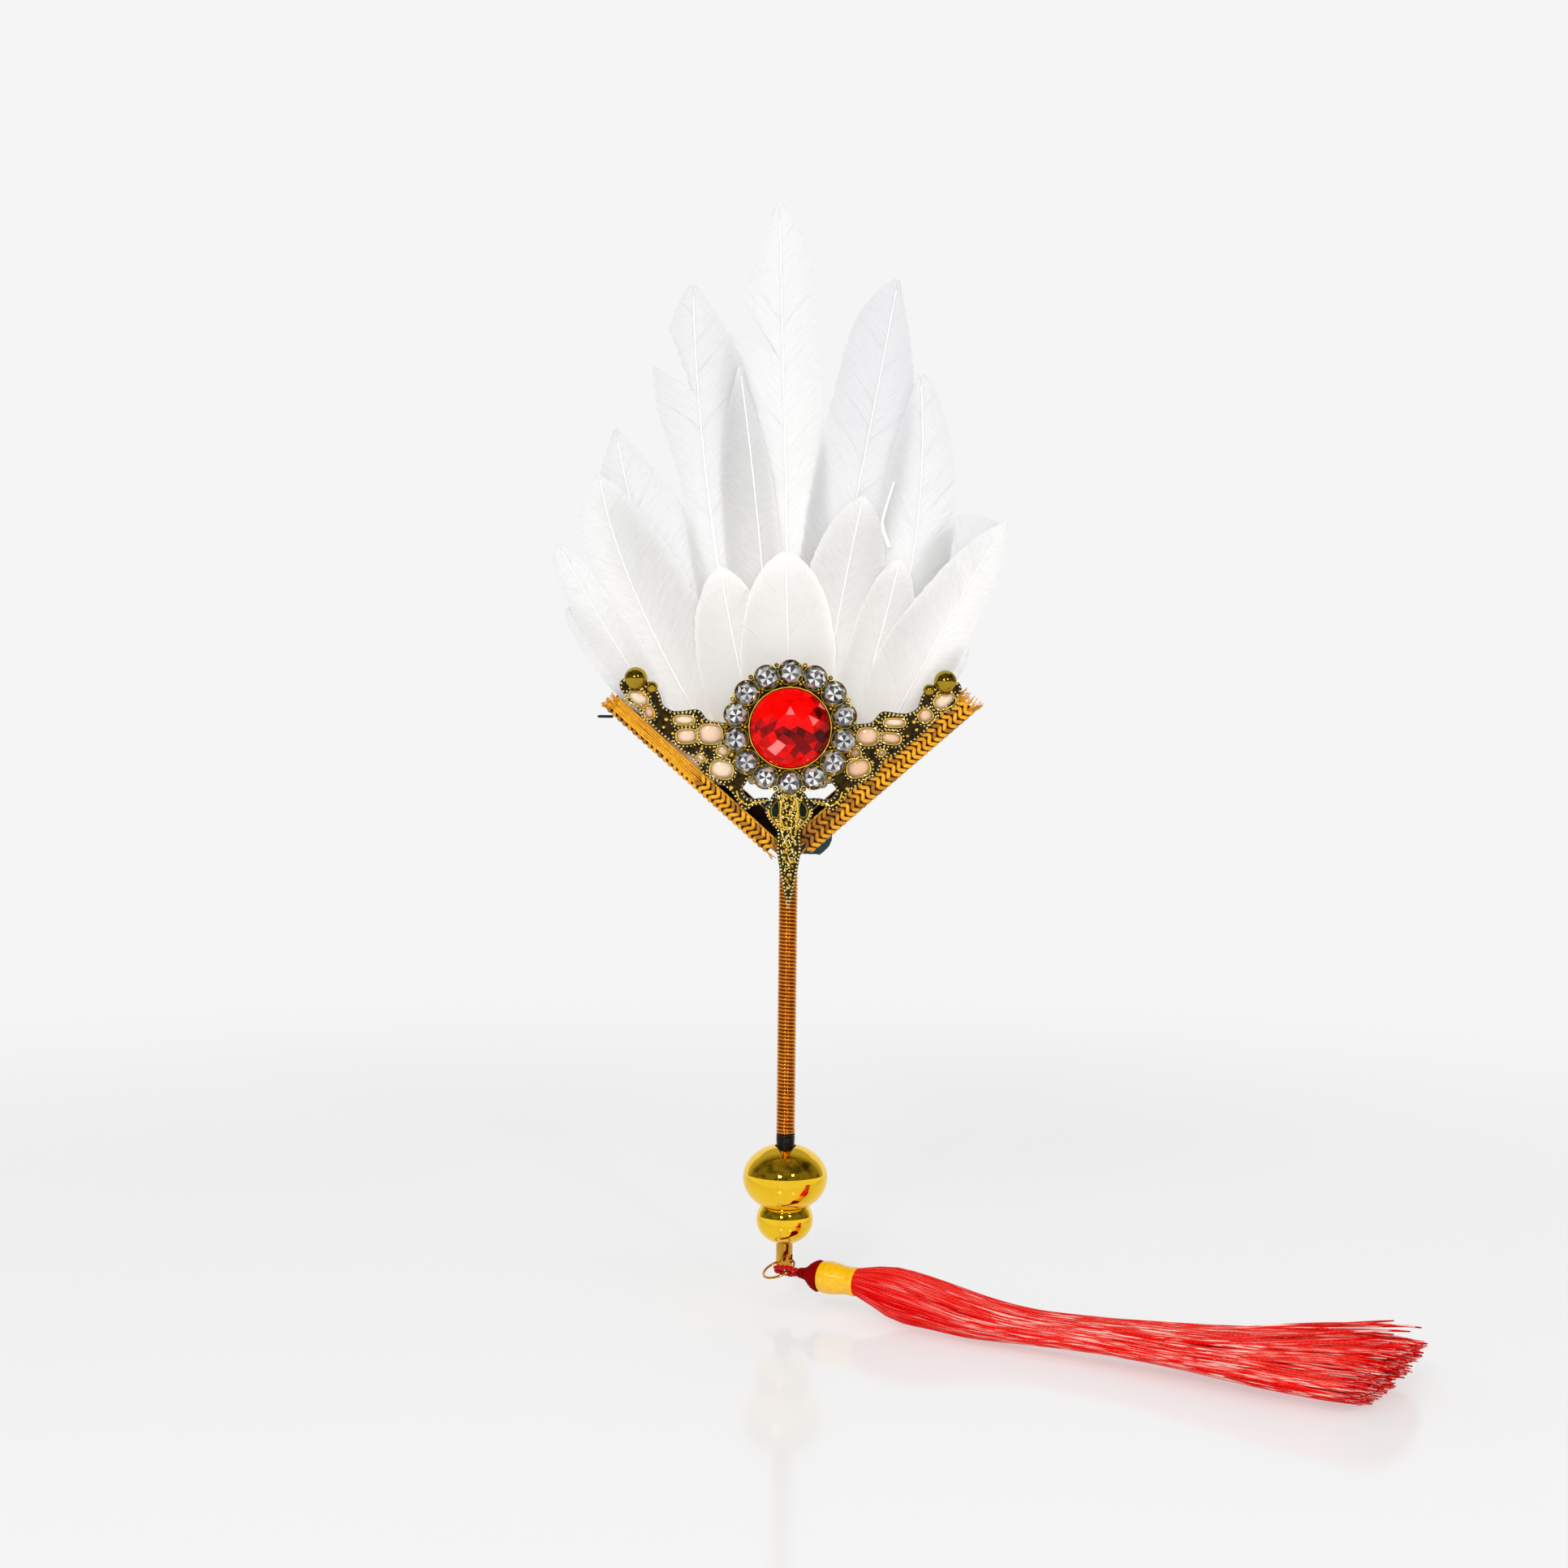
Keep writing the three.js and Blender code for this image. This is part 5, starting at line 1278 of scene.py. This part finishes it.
def add_leaf():
    """The cast leaf: a plate with a beaded rim, grains all over it and ribs that follow its lobes."""
    rng = random.Random(90)
    right = [(x, z + GRIP_TOP) for x, z in LEAF]
    left = [(-x, z) for x, z in right[1:-1]][::-1]
    outline = closed_line(right + left, 3)
    holes = [closed_line([(side * x, z + GRIP_TOP) for x, z in LOBE_HOLE], 4) for side in (1, -1)]
    build = Build()
    build.add(*flat_plate(outline, holes, FILIGREE_BACK, 1.0))
    bead_row(build, moved_in(spaced(outline, 0.3), 0.3), -4.04, 0.29, 0.74, rng)
    for ring in holes:
        build.add(*round_ring(ring, -3.95, 0.14), 2)
    inner = moved_in(outline, 0.8)
    shut = [moved_in(ring, -0.35) for ring in holes]
    for _ in range(1500):
        x, z = rng.uniform(-4.4, 4.4), rng.uniform(-8.6, 15.2) + GRIP_TOP
        if inside(inner, x, z) and not any(inside(ring, x, z) for ring in shut):
            depth = -3.98 + rng.uniform(-0.08, 0.12)
            ball(build, (x, depth, z), rng.uniform(0.18, 0.36), rng.choice([1, 2, 3, 3]), 4, 6)
    for side in (-1, 1):
        for bend in LEAF_RIBS:
            rib = smooth_path([(side * x, -4.12, GRIP_TOP + z) for x, z in bend], 6)
            build.add(*sweep(rib, 0.24, 8, hint=(0, -1, 0)), 3)
    build.make("leaf_drop_cast", ["dark_gilt", "bead_gilt", "olive_gilt", "bright_gilt"],
               "leaf_drop", crease=40)


# Stone cluster
CLUSTER_BACK, STONE_BACK = -4.3, -5.4
RING_RADIUS, STONES = 11.25, 14
CLUSTER_MIDDLE = CLUSTER_RISE + GRIP_TOP
BEZEL = [(8.2, 0.5), (8.2, 2.25), (8.28, 2.36), (8.4, 2.36), (8.5, 2.25), (8.6, 1.4), (8.75, 0.5),
         (8.2, 0.5)]
CUP = [(2.15, 0.6), (2.42, 0.75), (2.46, 1.3), (2.5, 1.62), (2.62, 1.6), (2.66, 1.2), (2.6, 0.7), (2.3, 0.5),
       (2.15, 0.6)]


def facing(points, x, back, z):
    """Turns a body that stands on +Z so that it faces the front."""
    points = np.asarray(points, float)
    return np.column_stack([points[:, 0] + x, back - points[:, 2], points[:, 1] + z])


def stone_place(k, radius=RING_RADIUS):
    a = k / STONES * TAU
    return radius * math.sin(a), CLUSTER_MIDDLE + radius * math.cos(a)


def add_cluster_plate():
    """The plate with a bezel for the red stone, a cup with four claws for each clear one, and grains."""
    rim_radius, wave, claw_out, claw_depth = 12.75, 0.35, 2.42, -6.05
    rng = random.Random(95)
    build = Build()
    a = np.arange(280) / 280 * TAU
    scallop = rim_radius + wave * np.cos(a * STONES)
    rim = np.column_stack([scallop * np.sin(a), CLUSTER_MIDDLE + scallop * np.cos(a)])
    build.add(*flat_plate(rim, [], CLUSTER_BACK, 0.8))
    points, faces = lathe(BEZEL, 120)
    build.add(facing(points, 0, CLUSTER_BACK, CLUSTER_MIDDLE), faces, 1)
    cup, cup_faces = lathe(CUP, 30)
    for k in range(STONES):
        x, z = stone_place(k)
        build.add(facing(cup, x, CLUSTER_BACK, z), cup_faces, 2)
        for j in range(4):
            b = (k / STONES * TAU) + math.radians(45 + 90 * j)
            centre = (x + claw_out * math.sin(b), claw_depth, z + claw_out * math.cos(b))
            ball(build, centre, 0.3, 1, 6, 8)
        for out, size in ((9.15, 0.45), (13.0, 0.5)):
            x_between, z_between = stone_place(k + 0.5, out)
            radius = size * rng.uniform(0.8, 1.2)
            ball(build, (x_between, -5.2, z_between), radius, rng.choice([1, 2]), 6, 9)
    build.make("cluster_setting", ["dark_gilt", "bright_gilt", "olive_gilt"],
               "cluster_plate", crease=35)


# Rows of a clear stone's corners: count, turn as a share of their pitch, radius and height as shares
CLEAR_ROWS = [(8, 0, 0.58, 1), (8, 0.5, 0.8, 0.72), (16, 0.25, 1, 0.3), (16, 0.25, 1, 0)]


def add_small_stone(k):
    """A round clear stone: a table, a ring of crown facets, and a girdle that goes straight down. Each
    facet's random tint is painted light and shade.
    """
    rng = random.Random(200 + k)
    radius, height, turn = 2.38, 1.95, rng.uniform(0, 1)
    points, starts = [], []
    for count, shift, share, rise in CLEAR_ROWS:
        starts.append(len(points))
        for i in range(count):
            a = (i + shift) / count * TAU + turn
            points.append((radius * share * math.cos(a), radius * share * math.sin(a), height * rise))
    table, mid, girdle, base = starts
    top, bottom = len(points), len(points) + 1
    points += [(0, 0, height - 0.16), (0, 0, 0)]
    faces, tints = [], []

    def facet(low, high, *corners):
        faces.append(corners)
        tints.append(rng.uniform(low, high))

    # Painted light and shade: table wedges alternate bright and dark, and the girdle and base are painted
    # dark
    for i in range(8):
        j = (i + 1) % 8
        facet(*((0.0, 0.35) if i % 2 else (0.6, 1.0)), table + i, table + j, top)
        facet(0.1, 1.0, table + i, mid + i, table + j)
        facet(0.3, 1.0, table + j, mid + i, mid + j)
        g0, g1, g2 = girdle + 2 * i, girdle + (2 * i + 1) % 16, girdle + (2 * i + 2) % 16
        facet(0.0, 0.7, mid + i, g0, g1)
        facet(0.2, 1.0, mid + i, g1, mid + j)
        facet(0.0, 0.7, mid + j, g1, g2)
    for i in range(16):
        j = (i + 1) % 16
        facet(0.0, 0.3, girdle + i, base + i, base + j, girdle + j)
        facet(0.1, 0.3, base + i, bottom, base + j)
    x, z = stone_place(k)
    build = Build()
    build.add(facing(points, x, STONE_BACK, z), faces, face_tints=tints)
    name = "small_stone_%02d" % (k + 1)
    build.make(name + "_cut", ["crystal"], name)


# Rows of the red stone's corners, from its top: count, height and radius, as shares of the whole
RED_ROWS = [(1, 1.0, 0), (6, 0.985, 0.2), (10, 0.94, 0.4), (14, 0.85, 0.59), (18, 0.71, 0.76),
            (22, 0.5, 0.9), (26, 0.27, 1.0), (26, 0.0, 1.0)]


def add_red_stone():
    """A domed red stone with many facets, whose tints are painted light and shade: a dark band across its
    middle and a few bright facets.
    """
    rng = random.Random(321)
    radius, height = 8.08, 4.3
    work = bmesh.new()
    for number, (count, rise, share) in enumerate(RED_ROWS):
        for i in range(count):
            a = (i + 0.5 * (number % 2) + rng.uniform(-0.12, 0.12) * (1 < number < 6)) / count * TAU
            work.verts.new((radius * share * math.cos(a), radius * share * math.sin(a), height * rise))
    bmesh.ops.convex_hull(work, input=work.verts)
    bmesh.ops.delete(work, geom=[v for v in work.verts if not v.link_faces], context="VERTS")
    bmesh.ops.dissolve_limit(work, angle_limit=math.radians(2.5), verts=work.verts, edges=work.edges)
    work.verts.index_update()
    points = np.array([v.co[:] for v in work.verts])
    faces = [[v.index for v in f.verts] for f in work.faces]
    work.free()
    tints = []
    for face in faces:
        x, z, _ = points[face].mean(0) / radius
        value = 0.62 + 0.3 * noise.noise(Vector((x * 2.3, z * 2.3, 4.2))) + rng.uniform(-0.16, 0.16)
        # Painted shade: a dark band across the middle and darker parts at the right and lower right
        value -= 0.62 * math.exp(-((z + 0.08 + 0.12 * x) / 0.15) ** 2) * (0.75 + 0.25 * x)
        value -= 0.35 * math.exp(-((x - 0.75) / 0.2) ** 2)
        value -= 0.3 * math.exp(-((x - 0.4) ** 2 + (z + 0.5) ** 2) / 0.06)
        # Painted highlights: a bright spot at the lower left and a few bright facets higher up
        if math.hypot(x + 0.3, z + 0.5) < 0.15:
            value = 1.0
        if 0.1 < z < 0.75 and rng.random() < 0.05:
            value = 0.97
        tints.append(min(1, max(0, value)))
    build = Build()
    build.add(facing(points, 0, STONE_BACK, CLUSTER_MIDDLE), faces, face_tints=tints)
    build.make("red_stone_cut", ["red_glass"], "red_stone")


# Glue: a cast pad with a ragged lower edge, which bulges into the filigree's cells
def add_glue():
    rng = random.Random(77)
    inset = 0.85
    right = [on_v(1, 20.5, inset), on_v(1, 37.5, inset), on_v(1, 37.5, 4.1), on_v(1, 31.5, 5.6),
             (17, 28.2 + GRIP_TOP), (10, 26 + GRIP_TOP)]
    left = [(-x, z) for x, z in right][::-1]
    lower = [(x, 16.6 + GRIP_TOP + 0.7 * noise.noise(Vector((x * 0.35, 3, 1))))
             for x in np.linspace(-19, 19, 40)]
    build = Build()
    build.add(*flat_plate(right + left + lower, [], 0.65, 2.5, 0.3), 0, 0.7)
    dome, faces = globe(1, 10, 18)
    for side in (-1, 1):
        for cell in CELLS[side]:
            wide, high = cell_size(cell)
            x, z = slanted(side, cell, dome[:, 0] * (wide + 0.35), dome[:, 2] * (high + 0.35))
            build.add(np.column_stack([x, -2.2 + dome[:, 1] * 1.25, z]), faces, 0, cell[5])
    for _ in range(46):
        x, z = rng.uniform(-17, 17), 16.9 + GRIP_TOP + rng.uniform(-0.9, 0.8)
        depth, radius, tint = rng.uniform(-1.4, -0.4), rng.uniform(0.5, 1.25), rng.uniform(0.5, 1)
        ball(build, (x, depth, z), radius, 0, 7, 12, tint, 0.8)
    build.make("glue_bed_cast", ["glue"], "feather_bed", crease=50)


def add_pin():
    x, z = on_v(-1, V_LENGTH - 2.6, 0)
    points, faces = lathe([(0, 0), (0.26, 0.02), (0.3, 0.12), (0.3, 2.5), (0.27, 2.9), (0.2, 3.12),
                           (0.1, 3.2), (0, 3.22)], 20)
    build = Build()
    build.add(np.column_stack([x - 0.55 - points[:, 2], points[:, 0] - 1.1, points[:, 1] + z]), faces)
    build.make("pin_end_rounded", ["pin"], "pin_end", crease=40)


# Felt patch over the tang at the back, with a soft uneven edge
PATCH = [
    [-0.28, 0.03], [0.2, 0.01], [0.61, 0], [0.73, 0], [0.93, 0.14], [1, 0.3], [0.97, 0.6], [0.94, 0.8],
    [0.68, 0.9], [0.2, 0.88], [-0.33, 0.86], [-0.77, 0.8], [-0.87, 0.6], [-0.55, 0.3],
]


def add_felt():
    line = spaced(closed_line([(9.15 * x, 0.2 + 13.3 * z + GRIP_TOP) for x, z in PATCH], 6), 0.35)
    ragged = np.array([0.12 * noise.noise(Vector((x * 1.7, z * 1.7, 2))) for x, z in line])
    build = Build()
    build.add(*flat_plate(moved_in(line, 0.12 + ragged[:, None]), [], 6.74, 0.8, 0.2))
    build.make("felt_patch_cut", ["felt"], "back_patch", crease=50)


add_feathers()
add_winding()
add_whipping()
add_gourd()
add_seam()
add_ring()
add_loop()
add_knot()
add_wrap()
add_skirt()
add_strap("left_strap", -1, 3.4)
add_strap("right_strap", 1, 5.1)
for wing_side, wing_name in ((-1, "left"), (1, "right")):
    add_wing(wing_name + "_wing", wing_side)
    add_end_bead(wing_name + "_end_bead", wing_side)
add_leaf()
add_cluster_plate()
for stone in range(STONES):
    add_small_stone(stone)
add_red_stone()
add_glue()
add_felt()
add_pin()

# The core's own solid is still shown, in a finish of its own
core_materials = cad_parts["handle_core"].data.materials
core_materials.clear()
core_materials.append(finish["steel"])


# Studio: a pale floor that fades into a pale background, soft lamps and a dome that only shiny things show
def add_world():
    """A pale room that the camera, mirrors and glass see, and a dimmer even light for the rest."""
    world = bpy.data.worlds.new("studio")
    bpy.context.scene.world = world
    world.use_nodes = True
    tree = world.node_tree
    tree.nodes.clear()
    light = node(tree, "Background", Color=grey(1), Strength=0.46)
    seen = node(tree, "Background", Color=grey(WHITE), Strength=1.0)
    ray = node(tree, "LightPath").outputs
    direct = reckon(tree, "MAXIMUM", ray["Is Camera Ray"], ray["Is Glossy Ray"])
    direct = reckon(tree, "MAXIMUM", direct, ray["Is Transmission Ray"])
    node(tree, "OutputWorld", Surface=mix_shaders(tree, direct, light, seen))


def floor_finish():
    mat, tree, bsdf = new_material("pale_floor")
    wire(bsdf, Base_Color=grey(0.97), Roughness=0.12, Specular_IOR_Level=0.6)
    glow = node(tree, "Emission", Color=grey(WHITE), Strength=1.0)
    away = node(tree, "VectorMath", operation="LENGTH", Vector=place_of(tree, (1 / 0.5, 1 / 0.34, 1)))
    fade = span_of(tree, away.outputs["Value"], 0.5, From_Min=0.35, From_Max=1.0,
                   interpolation_type="SMOOTHSTEP")
    wire(tree.nodes["Material Output"], Surface=mix_shaders(tree, fade, bsdf, glow))
    return mat


def stage_mesh(name, points, faces, material):
    mesh = bpy.data.meshes.new(name)
    mesh.from_pydata([Vector(p) * MM for p in points], [], faces)
    mesh.materials.append(material)
    made = placed(name, mesh)
    return made


def canopy_finish():
    """Cloudy and dim in front, brighter behind. It only glows."""
    mat, tree, bsdf = new_material("dim_canopy")
    cloud = noise_of(tree, place_of(tree), 1.6, 2.0)
    dim = ramp(tree, cloud, (0.35, (0.03, 0.026, 0.02, 1)), (0.6, (0.2, 0.185, 0.14, 1)))
    depth = node(tree, "SeparateXYZ", Vector=place_of(tree)).outputs["Y"]
    behind = span_of(tree, depth, From_Min=0.25, From_Max=0.8, interpolation_type="SMOOTHSTEP")
    wire(bsdf, Base_Color=grey(0), Specular_IOR_Level=0, Emission_Strength=1.0,
         Emission_Color=mix_of(tree, behind, dim, (0.5, 0.48, 0.42, 1)))
    return mat


def canopy_edge(turn):
    """Degrees up to the canopy's lower edge, by the turn from the front."""
    side, back = 125, 140
    if turn < side:
        return 16 - 19 * (turn / side) ** 2
    return np.interp(turn, [side, back], [-3, 32])


def add_canopy():
    """A dim canopy that only mirror-like surfaces see. Its edge dips at the sides and rises at the back."""
    columns, rows, radius, drop, points = 72, 14, 1400, 40, []
    for row in range(rows):
        for column in range(columns):
            turn = column / columns * 360 - 180
            low = canopy_edge(abs(turn))
            rise = math.radians(low + (89.5 - low) * row / (rows - 1))
            turn, out = math.radians(turn), radius * math.cos(rise)
            points.append((out * math.sin(turn), -out * math.cos(turn), radius * math.sin(rise) - drop))
    made = stage_mesh("canopy", points, grid_faces(rows, columns), canopy_finish())
    for kind in ("camera", "diffuse", "shadow", "transmission"):
        setattr(made, "visible_" + kind, False)


# Lamps: name, place, size, power, and whether mirrors show it
LAMPS = [("key", (-450, -900, 900), 500, 3.2, False), ("side", (700, -500, 500), 400, 1.2, False),
         ("fill", (60, -1250, 420), 500, 3.4, False), ("back", (250, 1100, 700), 500, 1.1, False),
         ("spark", (-260, -950, 560), 130, 2.0, True), ("second_spark", (420, -900, 700), 110, 1.2, True)]
FLOOR_DEPTH, FLOOR_REACH = -64.45, 30000


def add_studio():
    add_world()
    square = ((-1, -1), (1, -1), (1, 1), (-1, 1))
    corners = [(x * FLOOR_REACH, y * FLOOR_REACH, FLOOR_DEPTH) for x, y in square]
    stage_mesh("floor", corners, [(0, 1, 2, 3)], floor_finish())
    add_canopy()
    aim = Vector((0, 0, 40)) * MM
    for name, place, size, power, mirrored in LAMPS:
        data = bpy.data.lights.new(name, "AREA")
        data.shape, data.size, data.energy = "SQUARE", size * MM, power
        lamp = placed(name, data)
        lamp.visible_glossy = mirrored
        lamp.location = Vector(place) * MM
        lamp.rotation_euler = (aim - lamp.location).to_track_quat("-Z", "Y").to_euler()


add_studio()
